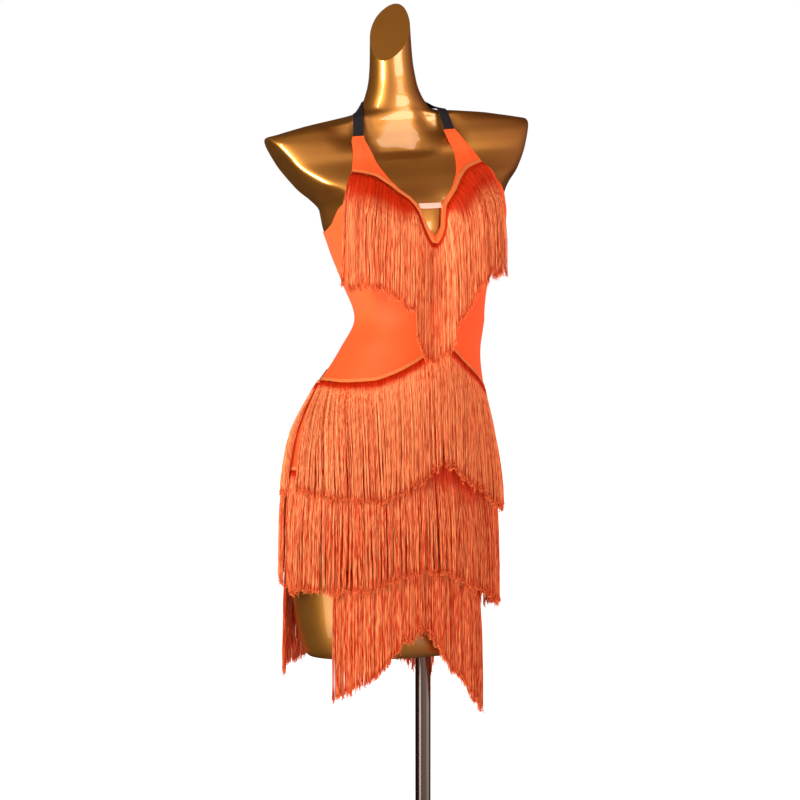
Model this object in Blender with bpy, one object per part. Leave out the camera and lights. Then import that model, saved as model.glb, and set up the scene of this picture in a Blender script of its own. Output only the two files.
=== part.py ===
"""A latin dance dress with rows of fringe, shown on a limbless display form that stands on a steel pole.

Metres, +Z up. The origin is the centre of the base plate's underside, on the pole's axis. The skirt faces -Y,
so +X is the wearer's left.
"""

import math
from collections import namedtuple

import bmesh
import bpy
import numpy as np
from mathutils import Matrix, Vector

# ---------------------------------------------------------------- driving sizes

FORM_BOTTOM = 0.560
NECK_TOP = 1.640

# One row for each level of the display form, from the thigh end up to the neck. `front` and `back` are the
# depths from the section's own centre. `turn` swings the section towards the wearer's right and `tilt` lifts
# its left side, both in degrees.
Section = namedtuple("Section", "height half_width front back centre_x centre_y turn tilt")
FORM_SECTIONS = (
    Section(FORM_BOTTOM, 0.134, 0.087, 0.092, -0.044, 0.036, 0, 0),
    Section(0.570, 0.144, 0.096, 0.101, -0.044, 0.036, 0, 0),
    Section(0.650, 0.160, 0.105, 0.115, -0.042, 0.040, 0, 0),
    Section(0.740, 0.173, 0.110, 0.126, -0.035, 0.042, 0, 0),
    Section(0.820, 0.177, 0.110, 0.132, -0.032, 0.042, 0, 0),
    Section(0.900, 0.168, 0.108, 0.126, -0.031, 0.040, 0, 0),
    Section(0.980, 0.145, 0.102, 0.104, -0.024, 0.034, 0, 0),
    Section(1.050, 0.116, 0.092, 0.086, -0.007, 0.028, 0, 0),
    Section(1.100, 0.106, 0.086, 0.082, 0.008, 0.024, 2, 0),
    Section(1.160, 0.120, 0.088, 0.086, -0.001, 0.022, 6, 1),
    Section(1.220, 0.139, 0.090, 0.092, -0.005, 0.022, 10, 2),
    Section(1.260, 0.151, 0.086, 0.092, -0.004, 0.023, 12, 4),
    Section(1.285, 0.154, 0.083, 0.090, -0.006, 0.024, 13, 5),
    Section(1.305, 0.170, 0.079, 0.088, -0.010, 0.025, 14, 6),
    Section(1.325, 0.204, 0.076, 0.086, -0.017, 0.026, 14, 6.2),
    Section(1.360, 0.240, 0.072, 0.082, -0.022, 0.029, 15, 6.2),
    Section(1.385, 0.246, 0.064, 0.070, -0.025, 0.031, 15, 6.2),
    Section(1.404, 0.226, 0.052, 0.057, -0.027, 0.032, 15, 6.2),
    Section(1.420, 0.160, 0.043, 0.047, -0.030, 0.033, 15, 6.2),
    Section(1.436, 0.062, 0.042, 0.045, -0.034, 0.033, 15, 5),
    Section(1.455, 0.047, 0.041, 0.042, -0.037, 0.032, 15, 3),
    Section(1.484, 0.038, 0.037, 0.037, -0.039, 0.031, 15, 0),
    Section(1.520, 0.034, 0.033, 0.033, -0.042, 0.030, 15, 0),
    Section(NECK_TOP, 0.030, 0.030, 0.030, -0.046, 0.030, 15, 0),
)
SECTION_POWER = 2.25
FORM_SIDES = 36

# The rings of the form stand closer where it curves more: from each height up, the widest step between them.
RING_STEPS = ((0.0, 0.045), (1.0, 0.020), (1.3, 0.030), (1.4, 0.015))

CHEST_HEIGHT = 1.250
CHEST_RISE = 0.052
CHEST_HOLLOW = 0.15
CHEST_HOLLOW_HALF_WIDTH = 0.075
CHEST_REACH_UP = 0.110
CHEST_REACH_DOWN = 0.110

SHOULDER_HALF_SPAN = 0.2135
SHOULDER_HEIGHT = 1.395
ARMPIT_HALF_SPAN = 0.160
ARMPIT_HEIGHT = 1.289

NECK_CUT_HEIGHT = 1.564
NECK_FOOT_HEIGHT = 1.470
NECK_CUT_SLOPE = 58
NECK_CUT_TURN = 47

Line = namedtuple("Line", "angle height")
Edge = namedtuple("Edge", "height angle")
Lean = namedtuple("Lean", "angle lean")

# The dress. Angles run round the body in degrees: 0 is the centre front, 90 the wearer's left side, 180 the
# centre back and 270 (or -90) the right side. The dress sits turned a little towards the right. Its front
# wanders from that by a few degrees up the chest.
DRESS_CENTRE = -3
FRONT_SHIFT = (
    Edge(1.000, 0.0), Edge(1.080, 0.0), Edge(1.220, -1.0), Edge(1.270, -1.4), Edge(1.300, 0.0), Edge(1.330, 2.4),
    Edge(1.355, 2.8), Edge(1.375, 1.7), Edge(1.394, 0.8), Edge(1.460, 0.8),
)
CLOTH_INSIDE = 0.0023
CLOTH_THICKNESS = 0.0015
SEAM_GAP = 0.00045
SEAM_GAP_ANGLE = 0.22

# The seam between bodice and skirt, where the hip fringe is sewn: an arch at the front, level at the back.
HIP_LINE = (
    Line(-110, 1.000), Line(-97, 1.000), Line(-70, 0.997), Line(-45, 1.000), Line(-32, 1.010),
    Line(-18, 1.029), Line(-8, 1.046), Line(0, 1.057), Line(9, 1.049), Line(20, 1.033),
    Line(37, 1.013), Line(62, 0.988), Line(91, 0.980), Line(140, 0.984), Line(180, 0.992),
    Line(220, 0.996), Line(250, 1.000), Line(270, 1.000),
)

# Where the second row of fringe is sewn on, round the hips.
MIDDLE_LINE_FRONT = (
    Line(-100, 0.862), Line(-57, 0.866), Line(-38, 0.867), Line(-25, 0.877), Line(-14, 0.887),
    Line(-2, 0.891), Line(10, 0.883), Line(22, 0.865), Line(49, 0.843), Line(94, 0.829),
)
MIDDLE_LINE_BACK = (
    Line(94, 0.831), Line(118, 0.857), Line(150, 0.881), Line(180, 0.890), Line(210, 0.891),
    Line(242, 0.883), Line(263, 0.870),
)

# The skirt's own lower edge, where the last row of fringe is sewn on: an upturned V, front and back.
HEM_LINE_FRONT = (
    Line(-57, 0.688), Line(-35, 0.717), Line(-25, 0.739), Line(-20, 0.753), Line(-13, 0.775),
    Line(-4, 0.797), Line(8, 0.744), Line(16, 0.722), Line(31, 0.685), Line(50, 0.658),
)
HEM_LINE_BACK = (
    Line(104, 0.677), Line(125, 0.685), Line(140, 0.704), Line(150, 0.724), Line(180, 0.763),
    Line(213, 0.745), Line(250, 0.725),
)

# Edges that run up and down, as angles to each side of the dress's centre line.
NECKLINE = (
    Edge(1.220, 0.0), Edge(1.240, 4.0), Edge(1.258, 5.6), Edge(1.270, 6.6), Edge(1.283, 9.0),
    Edge(1.303, 13.0), Edge(1.328, 14.0), Edge(1.352, 13.8), Edge(1.375, 13.3), Edge(1.394, 13.5),
)
ARMHOLE = (
    Edge(1.246, 88.2), Edge(1.256, 73.0), Edge(1.282, 60.0), Edge(1.300, 47.0), Edge(1.317, 37.0),
    Edge(1.340, 26.0), Edge(1.356, 22.2), Edge(1.376, 19.4), Edge(1.394, 18.0),
)
BODICE_REAR = (
    Edge(1.000, 104), Edge(1.020, 104), Edge(1.050, 114), Edge(1.090, 126), Edge(1.130, 130),
    Edge(1.250, 130),
)
SKIRT_SIDE = 97
FRONT_SLIT = (
    Edge(0.665, 53), Edge(0.700, 54), Edge(0.730, 58), Edge(0.760, 66), Edge(0.790, 77),
    Edge(0.820, 89), Edge(0.845, SKIRT_SIDE), Edge(1.000, SKIRT_SIDE),
)
BACK_SLIT = (Edge(0.690, 73), Edge(0.760, 75), Edge(0.795, 79), Edge(0.825, 82.8), Edge(1.000, 82.8))
SKIRT_SHARE = np.linspace(0, 1, 12)

# The bodice's rows run from the hip seam up to the underarm line, given as angles from the dress's centre.
# Above it each half narrows to a strap: a row gives its height at the neckline and at the armhole.
UNDERARM_LINE = (Line(0, 1.220), Line(30, 1.226), Line(88.2, 1.246), Line(130, 1.250))
BODICE_RISE = (0, 0.08, 0.18, 0.28, 0.38, 0.48, 0.58, 0.68, 0.78, 0.88, 1.0)
BACK_RISE = 0.58
ARMHOLE_COLUMN = 8
STRAP_LEVELS = (
    (1.240, 1.256), (1.258, 1.268), (1.270, 1.282), (1.283, 1.292), (1.303, 1.305), (1.322, 1.320),
    (1.340, 1.340), (1.358, 1.358), (1.376, 1.376), (1.394, 1.394),
)
STRAP_TIP = 1.394
BACK_TOP = (Line(130, 1.250), Line(150, 1.246), Line(180, 1.245), Line(210, 1.246), Line(230, 1.250))
BACK_ARCH = (
    Line(130, 1.145), Line(143, 1.156), Line(158, 1.164), Line(180, 1.168), Line(202, 1.164),
    Line(217, 1.156), Line(230, 1.145),
)
HALTER_PATH = (
    Edge(1.3943, 15.8), Edge(1.408, 17.5), Edge(1.418, 22), Edge(1.427, 36), Edge(1.433, 60),
    Edge(1.440, 95), Edge(1.446, 130), Edge(1.450, 160), Edge(1.451, 180),
)

ELASTIC_WIDTH = 0.016
ELASTIC_THICKNESS = 0.0012
STRAP_STANDOFF = 0.0025
BRIDGE_HEIGHT = 1.2725
BRIDGE_WIDTH = 0.009

# The fringe: it measures the same from the top of its tape to its ends everywhere. A lock is a flat bunch of
# strands.
FRINGE_DROP = 0.200
TAPE_WIDTH = 0.007
TAPE_THICKNESS = 0.002
BUST_LOCK_PITCH = 0.017
SKIRT_LOCK_PITCH = 0.0200
LOCK_SHARE = 0.8
LOCK_THICKNESS = 0.003
TAPE_STANDOFF = CLOTH_INSIDE + CLOTH_THICKNESS + 0.0010
FAN = 0.55
FAN_START = 6
FAN_LENGTH = 0.045

# How far the hip fringe's strands lean at their roots, at each angle: they part over the side seams.
HIP_LEAN_FRONT = (
    Lean(-99.5, 0.30), Lean(-70, 0.05), Lean(-30, -0.04), Lean(3, -0.22), Lean(35, -0.05), Lean(93.5, -0.12),
)
HIP_LEAN_BACK = (Lean(96, 0.10), Lean(130, 0.0), Lean(225, 0.0), Lean(258, -0.05))
BUST_TAPE = (
    Line(25.3, 1.341), Line(21.0, 1.336), Line(17.0, 1.328), Line(15.0, 1.316), Line(13.5, 1.301),
    Line(9.5, 1.283), Line(7.0, 1.270), Line(5.9, 1.258), Line(4.4, 1.240), Line(1.7, 1.220),
    Line(0, 1.215),
)

POLE_RADIUS = 0.0125
POLE_SOCKET_DEPTH = 0.060
BASE_RADIUS = 0.170
BASE_THICKNESS = 0.010
CLEARANCE = 0.0003


# ---------------------------------------------------------------- the form's surface


def smooth_through(heights, values, at):
    """The value at each height, on a curve through the rows that never swings past them."""
    gap = np.diff(heights)
    slope = np.diff(values) / gap
    rising = slope[:-1] * slope[1:] > 0
    total = np.where(rising, slope[:-1] + slope[1:], 1.0)
    tangent = np.concatenate(
        [slope[:1], np.where(rising, 2 * slope[:-1] * slope[1:] / total, 0.0), slope[-1:]]
    )
    at = np.clip(at, heights[0], heights[-1])
    row = np.clip(np.searchsorted(heights, at) - 1, 0, len(gap) - 1)
    width = gap[row]
    t = (at - heights[row]) / width
    return (
        values[row] * (1 + 2 * t) * (1 - t) ** 2
        + values[row + 1] * t * t * (3 - 2 * t)
        + tangent[row] * width * t * (1 - t) ** 2
        - tangent[row + 1] * width * t * t * (1 - t)
    )


def section_at(height):
    """The form's section at each height, as a Section of arrays."""
    table = np.array(FORM_SECTIONS, float).T
    columns = [smooth_through(table[0], column, height) for column in table[1:]]
    return Section(height, *columns)


def chest_rise(across, height, half_width):
    """How far the chest stands forward of the plain section."""
    reach = np.where(height > CHEST_HEIGHT, CHEST_REACH_UP, CHEST_REACH_DOWN)
    swell = np.clip(1 - ((height - CHEST_HEIGHT) / reach) ** 2, 0, 1) ** 1.5
    middle = np.clip(np.abs(across) / CHEST_HOLLOW_HALF_WIDTH, 0, 1)
    hollow = CHEST_HOLLOW * (1 + np.cos(np.pi * middle)) / 2
    fade = np.clip((1 - np.abs(across) / half_width) / 0.28, 0, 1)
    return CHEST_RISE * swell * (1 - hollow) * fade * fade * (3 - 2 * fade)


def skin(height, angle):
    """Points on the form. Angle 0 is the centre front and 90 the wearer's left side, in degrees."""
    height, angle = np.broadcast_arrays(np.asarray(height, float), np.radians(angle))
    s = section_at(height)
    sine, cosine = np.sin(angle), np.cos(angle)
    across = s.half_width * np.sign(sine) * np.abs(sine) ** (2 / SECTION_POWER)
    depth = np.abs(cosine) ** (2 / SECTION_POWER)
    rise = chest_rise(across, height, s.half_width)
    along = np.where(cosine > 0, -s.front * depth - rise, s.back * depth)
    turn = np.radians(s.turn)
    x = s.centre_x + across * np.cos(turn) + along * np.sin(turn)
    y = s.centre_y - across * np.sin(turn) + along * np.cos(turn)
    return np.stack([x, y, height + across * np.tan(np.radians(s.tilt))], axis=-1)


def outside(points):
    """How far each point lies outside the form, near its surface. It is below zero inside."""
    level = points[..., 2]
    for _ in range(3):
        s = section_at(level)
        turn = np.radians(s.turn)
        x, y = points[..., 0] - s.centre_x, points[..., 1] - s.centre_y
        across = x * np.cos(turn) - y * np.sin(turn)
        along = x * np.sin(turn) + y * np.cos(turn)
        level = points[..., 2] - across * np.tan(np.radians(s.tilt))
    rise = chest_rise(across, level, s.half_width)
    along = np.where(along + rise < 0, along + rise, np.maximum(along, 0))
    depth = np.where(along < 0, s.front, s.back)
    share = (
        np.abs(across / s.half_width) ** SECTION_POWER + np.abs(along / depth) ** SECTION_POWER
    ) ** (1 / SECTION_POWER)
    return (1 - 1 / np.maximum(share, 1e-6)) * np.hypot(across, along)


def nearest(points):
    """The distance of each point from the form, and the unit direction away from it."""
    step = 0.002
    slope = np.stack(
        [outside(points + step * axis) - outside(points - step * axis) for axis in np.eye(3)], axis=-1
    ) / (2 * step)
    length = np.linalg.norm(slope, axis=-1, keepdims=True)
    return outside(points) / length[..., 0], slope / length


def cover(height, angle, distance):
    """Points that stand off the form by a distance."""
    base = skin(height, angle)
    return base + distance * nearest(base)[1]


# ---------------------------------------------------------------- making objects


def material(name, colour, roughness, metallic=0.0):
    made = bpy.data.materials.new(name)
    made.use_nodes = True
    shader = made.node_tree.nodes["Principled BSDF"]
    shader.inputs["Base Color"].default_value = (*colour, 1.0)
    shader.inputs["Roughness"].default_value = roughness
    shader.inputs["Metallic"].default_value = metallic
    return made


def add_object(name, mesh, finish, smooth_below=40):
    for polygon in mesh.polygons:
        polygon.use_smooth = True
    mesh.set_sharp_from_angle(angle=math.radians(smooth_below))
    mesh.materials.append(finish)
    made = bpy.data.objects.new(name, mesh)
    bpy.context.scene.collection.objects.link(made)
    return made


def mesh_from(name, points, faces):
    mesh = bpy.data.meshes.new(name)
    mesh.from_pydata([tuple(p) for p in points], [], [tuple(f) for f in faces])
    mesh.update()
    return mesh


def closed(name, points, faces):
    """A mesh with every face turned outwards."""
    mesh = mesh_from(name, points, faces)
    bm = bmesh.new()
    bm.from_mesh(mesh)
    bmesh.ops.recalc_face_normals(bm, faces=bm.faces[:])
    bm.to_mesh(mesh)
    bm.free()
    return mesh


def turned(name, profile, sides):
    """A solid of revolution about +Z from (radius, height) rows, the first and last of them on the axis."""
    points, faces = [], []
    for radius, height in profile[1:-1]:
        for k in range(sides):
            a = 2 * math.pi * k / sides
            points.append((radius * math.cos(a), radius * math.sin(a), height))
    rings = len(profile) - 2
    for r in range(rings - 1):
        for k in range(sides):
            m = (k + 1) % sides
            faces.append((r * sides + k, r * sides + m, (r + 1) * sides + m, (r + 1) * sides + k))
    faces.append(tuple(reversed(range(sides))))
    faces.append(tuple(range((rings - 1) * sides, rings * sides)))
    return mesh_from(name, points, faces)


# ---------------------------------------------------------------- form, pole and base


def form_levels():
    """Heights of the form's rings: every table row, and enough between rows to follow the surface."""
    levels = []
    rows = [s.height for s in FORM_SECTIONS]
    angles = np.arange(FORM_SIDES) * 360 / FORM_SIDES
    for low, high in zip(rows, rows[1:]):
        span = np.linalg.norm(skin(high, angles) - skin(low, angles), axis=-1).max()
        step = [widest for start, widest in RING_STEPS if low >= start][-1]
        steps = math.ceil(span / step - 1e-6)
        levels += [low + (high - low) * k / steps for k in range(steps)]
    return levels + rows[-1:]


def cut_flat(mesh, point, normal, above):
    """Takes away what lies beyond a plane, above a height, and closes the mesh with one flat face there."""
    bm = bmesh.new()
    bm.from_mesh(mesh)
    faces = [f for f in bm.faces if f.calc_center_median().z > above]
    edges = {e for f in faces for e in f.edges}
    corners = {v for f in faces for v in f.verts}
    cut = bmesh.ops.bisect_plane(
        bm,
        geom=[*corners, *edges, *faces],
        dist=1e-5,
        plane_co=point,
        plane_no=normal,
        clear_outer=True,
    )
    rim = [e for e in cut["geom_cut"] if isinstance(e, bmesh.types.BMEdge)]
    bmesh.ops.holes_fill(bm, edges=rim, sides=0)
    bmesh.ops.recalc_face_normals(bm, faces=bm.faces[:])
    bm.to_mesh(mesh)
    bm.free()


def cut_away(target, mesh, place):
    """Takes the closed mesh, set at a place, out of the target object."""
    cutter = bpy.data.objects.new(mesh.name, mesh)
    cutter.location = place
    cutter.hide_render = True
    cutter.display_type = "WIRE"
    bpy.context.scene.collection.objects.link(cutter)
    cut = target.modifiers.new(mesh.name, "BOOLEAN")
    cut.operation = "DIFFERENCE"
    cut.solver = "EXACT"
    cut.object = cutter


def shoulder_wedge(side):
    """What is sliced off beyond one shoulder: it stands on a slanted plane from the armpit to the tip."""
    outline = (
        (ARMPIT_HALF_SPAN, ARMPIT_HEIGHT),
        (0.35, ARMPIT_HEIGHT - 0.03),
        (0.35, SHOULDER_HEIGHT + 0.04),
        (SHOULDER_HALF_SPAN, SHOULDER_HEIGHT),
    )
    corners = []
    for across, height in outline:
        s = section_at(np.array(min(height, SHOULDER_HEIGHT)))
        turn = math.radians(s.turn)
        x = s.centre_x + side * across * math.cos(turn)
        y = s.centre_y - side * across * math.sin(turn)
        lift = side * across * math.tan(math.radians(s.tilt))
        corners.append(Vector((x, y, height + lift)))
    corners[3] += 0.3 * (corners[3] - corners[0])
    chest = section_at(np.array(SHOULDER_HEIGHT))
    turn = math.radians(chest.turn)
    back = Vector((math.sin(turn), math.cos(turn), 0)) * 0.2
    points = [corner - back for corner in corners] + [corner + back for corner in corners]
    faces = [(0, 1, 2, 3), (7, 6, 5, 4)]
    faces += [(k, k + 4, (k + 1) % 4 + 4, (k + 1) % 4) for k in range(4)]
    name = "left_shoulder_cutter" if side > 0 else "right_shoulder_cutter"
    return closed(name, points, faces)


def build_form(finish):
    levels = form_levels()
    angles = np.arange(FORM_SIDES) * 360 / FORM_SIDES
    grid = skin(np.array(levels)[:, None], angles[None, :])
    points = grid.reshape(-1, 3)
    faces = []
    for r in range(len(levels) - 1):
        for k in range(FORM_SIDES):
            m = (k + 1) % FORM_SIDES
            a, b = r * FORM_SIDES, (r + 1) * FORM_SIDES
            faces.append((a + k, a + m, b + m, b + k))
    faces.append(tuple(reversed(range(FORM_SIDES))))
    faces.append(tuple(range(len(points) - FORM_SIDES, len(points))))
    mesh = mesh_from("display_form", points, faces)

    neck = section_at(np.array(NECK_CUT_HEIGHT))
    facing = math.radians(-90 - NECK_CUT_TURN)
    slope = math.radians(NECK_CUT_SLOPE)
    normal = Vector(
        (math.cos(facing) * math.sin(slope), math.sin(facing) * math.sin(slope), math.cos(slope))
    )
    middle = Vector((float(neck.centre_x), float(neck.centre_y), NECK_CUT_HEIGHT))
    cut_flat(mesh, middle, normal, NECK_FOOT_HEIGHT)

    form = add_object("display_form", mesh, finish)
    depth = POLE_SOCKET_DEPTH + CLEARANCE
    socket = (
        (0, -0.02),
        (POLE_RADIUS + CLEARANCE, -0.02),
        (POLE_RADIUS + CLEARANCE, depth),
        (0, depth),
    )
    cut_away(form, turned("pole_socket_cutter", socket, 32), Vector((0, 0, FORM_BOTTOM)))
    for side in (-1, 1):
        cut_away(form, shoulder_wedge(side), Vector((0, 0, 0)))
    return form


def build_pole(finish):
    foot = BASE_THICKNESS + CLEARANCE
    top = FORM_BOTTOM + POLE_SOCKET_DEPTH
    profile = ((0, foot), (POLE_RADIUS, foot), (POLE_RADIUS, top), (0, top))
    return add_object("pole", turned("pole", profile, 32), finish)


def build_base(finish):
    edge = 0.003
    profile = (
        (0, 0),
        (BASE_RADIUS, 0),
        (BASE_RADIUS, BASE_THICKNESS - edge),
        (BASE_RADIUS - edge, BASE_THICKNESS),
        (0, BASE_THICKNESS),
    )
    return add_object("base_plate", turned("base_plate", profile, 48), finish)


# ---------------------------------------------------------------- cloth


def along_line(line, angle):
    """The height of a seam or edge at each angle."""
    table = np.array(line, float).T
    return smooth_through(table[0], table[1], angle)


def on_dress(height, offset):
    """The angle of a point that lies `offset` degrees from the dress's centre front, to its left."""
    table = np.array(FRONT_SHIFT, float).T
    shift = smooth_through(table[0], table[1], np.asarray(height, float))
    return DRESS_CENTRE + offset + shift * np.clip(1 - np.abs(offset) / 130, 0, 1)


def along_edge(edge, height):
    """The angle of an edge that runs up and down, at each height."""
    table = np.array(edge, float).T
    return smooth_through(table[0], table[1], height)


def panel(name, grids, finish, inside=CLOTH_INSIDE, thickness=CLOTH_THICKNESS):
    """A closed cloth panel over the form, from grids of heights and angles that share their common points."""
    index, faces, edges = {}, [], {}
    for heights, angles in grids:
        ids = np.array(
            [
                [index.setdefault((round(float(h), 6), round(float(t), 4)), len(index)) for h, t in zip(*row)]
                for row in zip(heights, angles)
            ]
        )
        for r in range(ids.shape[0] - 1):
            for c in range(ids.shape[1] - 1):
                faces.append((ids[r, c], ids[r, c + 1], ids[r + 1, c + 1], ids[r + 1, c]))
    for face in faces:
        for a, b in zip(face, face[1:] + face[:1]):
            edges[min(a, b), max(a, b)] = edges.get((min(a, b), max(a, b)), 0) + 1
    count = len(index)
    height, angle = np.array(list(index)).T
    inner = cover(height, angle, inside)
    outer = cover(height, angle, inside + thickness)
    rim = [(a, b, count + b, count + a) for (a, b), uses in edges.items() if uses == 1]
    far = [tuple(count + k for k in face) for face in faces]
    return add_object(name, closed(name, np.concatenate([inner, outer]), faces + far + rim), finish)


def build_bodice_front(finish):
    """The front bodice: one piece from the hip seam to the two strap ends, with a V down its front."""
    share = np.append(SKIRT_SHARE * SKIRT_SIDE / BODICE_REAR[0].angle, 1.0)
    grids = []
    for side in (-1, 1):
        heights, angles = [], []
        for rise in BODICE_RISE:
            level = BODICE_REAR[0].height + rise * 0.25
            offset = share * along_edge(BODICE_REAR, level)
            foot = along_line(HIP_LINE, DRESS_CENTRE + side * offset) + SEAM_GAP / 2
            height = foot + (along_line(UNDERARM_LINE, offset) - foot) * rise
            heights.append(height)
            angles.append(on_dress(height, side * offset))
        grids.append((heights, angles))
        prong = share[: ARMHOLE_COLUMN + 1] / share[ARMHOLE_COLUMN]
        high_rows, high_angles = [heights[-1][: len(prong)]], [angles[-1][: len(prong)]]
        for neck, arm in STRAP_LEVELS:
            low, high = along_edge(NECKLINE, neck), along_edge(ARMHOLE, arm)
            high_rows.append(neck + (arm - neck) * prong)
            high_angles.append(on_dress(high_rows[-1], side * (low + (high - low) * prong)))
        grids.append((high_rows, high_angles))
    return panel("bodice_front", grids, finish)


def build_bodice_back(finish):
    """A band across the back under the arms. The back is open below it."""
    rear = BODICE_REAR[-1].angle + SEAM_GAP_ANGLE
    offset = np.linspace(rear, 360 - rear, 13)
    low = along_line(BACK_ARCH, offset)
    top = along_line(BACK_TOP, offset)
    first = BODICE_RISE.index(BACK_RISE)
    share = [(rise - BACK_RISE) / (1 - BACK_RISE) for rise in BODICE_RISE[first:]]
    rows = [low + (top - low) * k for k in share]
    return panel("bodice_back", [(rows, [DRESS_CENTRE + offset] * len(rows))], finish)


def build_skirt(name, centre, half_angle, slit, hem, finish):
    """One half of the skirt, from the hip seam down to its own pointed hem, narrowing beside the slits."""
    rows, angles = [], []
    for drop in np.linspace(0, 1, 12):
        width = np.minimum(along_edge(slit, 0.990 - drop * 0.300), half_angle)
        angle = centre + np.concatenate([-SKIRT_SHARE[:0:-1], SKIRT_SHARE]) * width
        top = along_line(HIP_LINE, (angle + 110) % 360 - 110) - SEAM_GAP / 2
        rows.append(top + (along_line(hem, angle) - top) * drop)
        angles.append(angle)
    return panel(name, [(rows, angles)], finish)


def build_back_elastic(finish):
    """The elastic that closes the open back just above the skirt."""
    rear = BODICE_REAR[0].angle + SEAM_GAP_ANGLE
    angle = DRESS_CENTRE + np.linspace(rear, 360 - rear, 17)
    low = along_line(HIP_LINE, (angle + 110) % 360 - 110) + SEAM_GAP / 2
    rows = [low + ELASTIC_WIDTH * k / 2 for k in range(3)]
    return panel("back_elastic", [(rows, [angle] * 3)], finish, thickness=ELASTIC_THICKNESS)


def build_bridge_elastic(finish):
    """A narrow elastic stretched straight across the V of the neckline."""
    corners = []
    for height in (BRIDGE_HEIGHT - BRIDGE_WIDTH / 2, BRIDGE_HEIGHT + BRIDGE_WIDTH / 2):
        reach = along_edge(NECKLINE, np.array(height)) - 0.15
        ends = cover(height, on_dress(height, reach * np.array([-1, 1])), CLOTH_INSIDE)
        lift = nearest(ends)[1].mean(axis=0) * ELASTIC_THICKNESS
        corners += [ends[0], ends[1], ends[1] + lift, ends[0] + lift]
    faces = [(0, 1, 2, 3), (4, 5, 6, 7)] + [(k, (k + 1) % 4, (k + 1) % 4 + 4, k + 4) for k in range(4)]
    return add_object("bridge_elastic", closed("bridge_elastic", corners, faces), finish)


def build_halter_strap(finish):
    """The halter: a flat elastic from one strap end, round the back of the neck, to the other."""
    half = [(height, angle) for height, angle in HALTER_PATH]
    path = half + [(height, 360 - angle) for height, angle in reversed(half[:-1])]
    table = np.array(path).T
    place = np.arange(len(path))
    fine = np.linspace(0, len(path) - 1, 400)
    height = smooth_through(place, table[0], fine)
    angle = smooth_through(place, table[1], fine)
    angle = on_dress(height, np.where(angle > 180, angle - 360, angle))
    centre = cover(height, angle, STRAP_STANDOFF)
    run = np.concatenate([[0], np.cumsum(np.linalg.norm(np.diff(centre, axis=0), axis=1))])
    at = np.linspace(0, run[-1], 48)
    centre = np.stack([np.interp(at, run, centre[:, k]) for k in range(3)], axis=-1)
    for _ in range(40):
        centre[1:-1] = (centre[:-2] + 2 * centre[1:-1] + centre[2:]) / 4
        distance, away = nearest(centre)
        centre[1:-1] += (away * np.maximum(STRAP_STANDOFF - distance, 0)[:, None])[1:-1]
    up = nearest(centre)[1]
    for _ in range(6):
        up[1:-1] = (up[:-2] + 2 * up[1:-1] + up[2:]) / 4
    tangent = np.gradient(centre, axis=0)
    width = np.cross(up, tangent)
    for end, side in ((0, 1), (-1, -1)):
        spread = np.subtract(*skin(STRAP_TIP, on_dress(STRAP_TIP, side * np.array([19, 13]))))
        width[end] = spread * np.sign(spread @ width[end])
    width /= np.linalg.norm(width, axis=1, keepdims=True)
    corners = []
    for side in (-1, 1):
        edge = centre + side * width * ELASTIC_WIDTH / 2
        distance, away = nearest(edge)
        edge = edge + away * np.maximum(CLOTH_INSIDE - distance, 0)[:, None]
        corners.append(edge)
    lift = np.cross(tangent, width)
    lift *= ELASTIC_THICKNESS / np.linalg.norm(lift, axis=1, keepdims=True)
    ring = np.stack([corners[0], corners[1], corners[1] + lift, corners[0] + lift], axis=1)
    return add_object("halter_strap", closed("halter_strap", *swept(ring)), finish)


def swept(rings):
    """Points and faces of a closed body through rings of four points."""
    count = len(rings)
    faces = [(0, 1, 2, 3), tuple(4 * (count - 1) + k for k in range(4))]
    for r in range(count - 1):
        for k in range(4):
            m = (k + 1) % 4
            faces.append((4 * r + k, 4 * r + m, 4 * r + 4 + m, 4 * r + 4 + k))
    return rings.reshape(-1, 3), faces


# ---------------------------------------------------------------- fringe


def hang(start, rise, length, fan):
    """Where a strand from each start point lies at each share of its length.

    It slides down the body, lifting off it by `rise` over the given length, and falls plumb where the body
    draws back. `fan` leans it sideways at its root, towards the wearer's left where it is above zero.
    """
    count = 50
    step = (FRINGE_DROP - TAPE_WIDTH) / count
    first, away = nearest(start)
    left = np.stack([-away[:, 1], away[:, 0], 0 * away[:, 0]], axis=-1)
    lean = fan[:, None] * left
    point, places = start, [start]
    for k in range(1, count + 1):
        stand = first + rise * min(1, k * step / length)
        moved = point + step * (np.array([0, 0, -1]) + lean * math.exp(-k * step / FAN_LENGTH))
        for _ in range(2):
            distance, away = nearest(moved)
            moved = moved + away * np.maximum(stand - distance, 0)[..., None]
            move = moved - point
            moved = point + move * step / np.linalg.norm(move, axis=-1, keepdims=True)
        point = moved
        places.append(point)
    return np.array(places)


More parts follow.
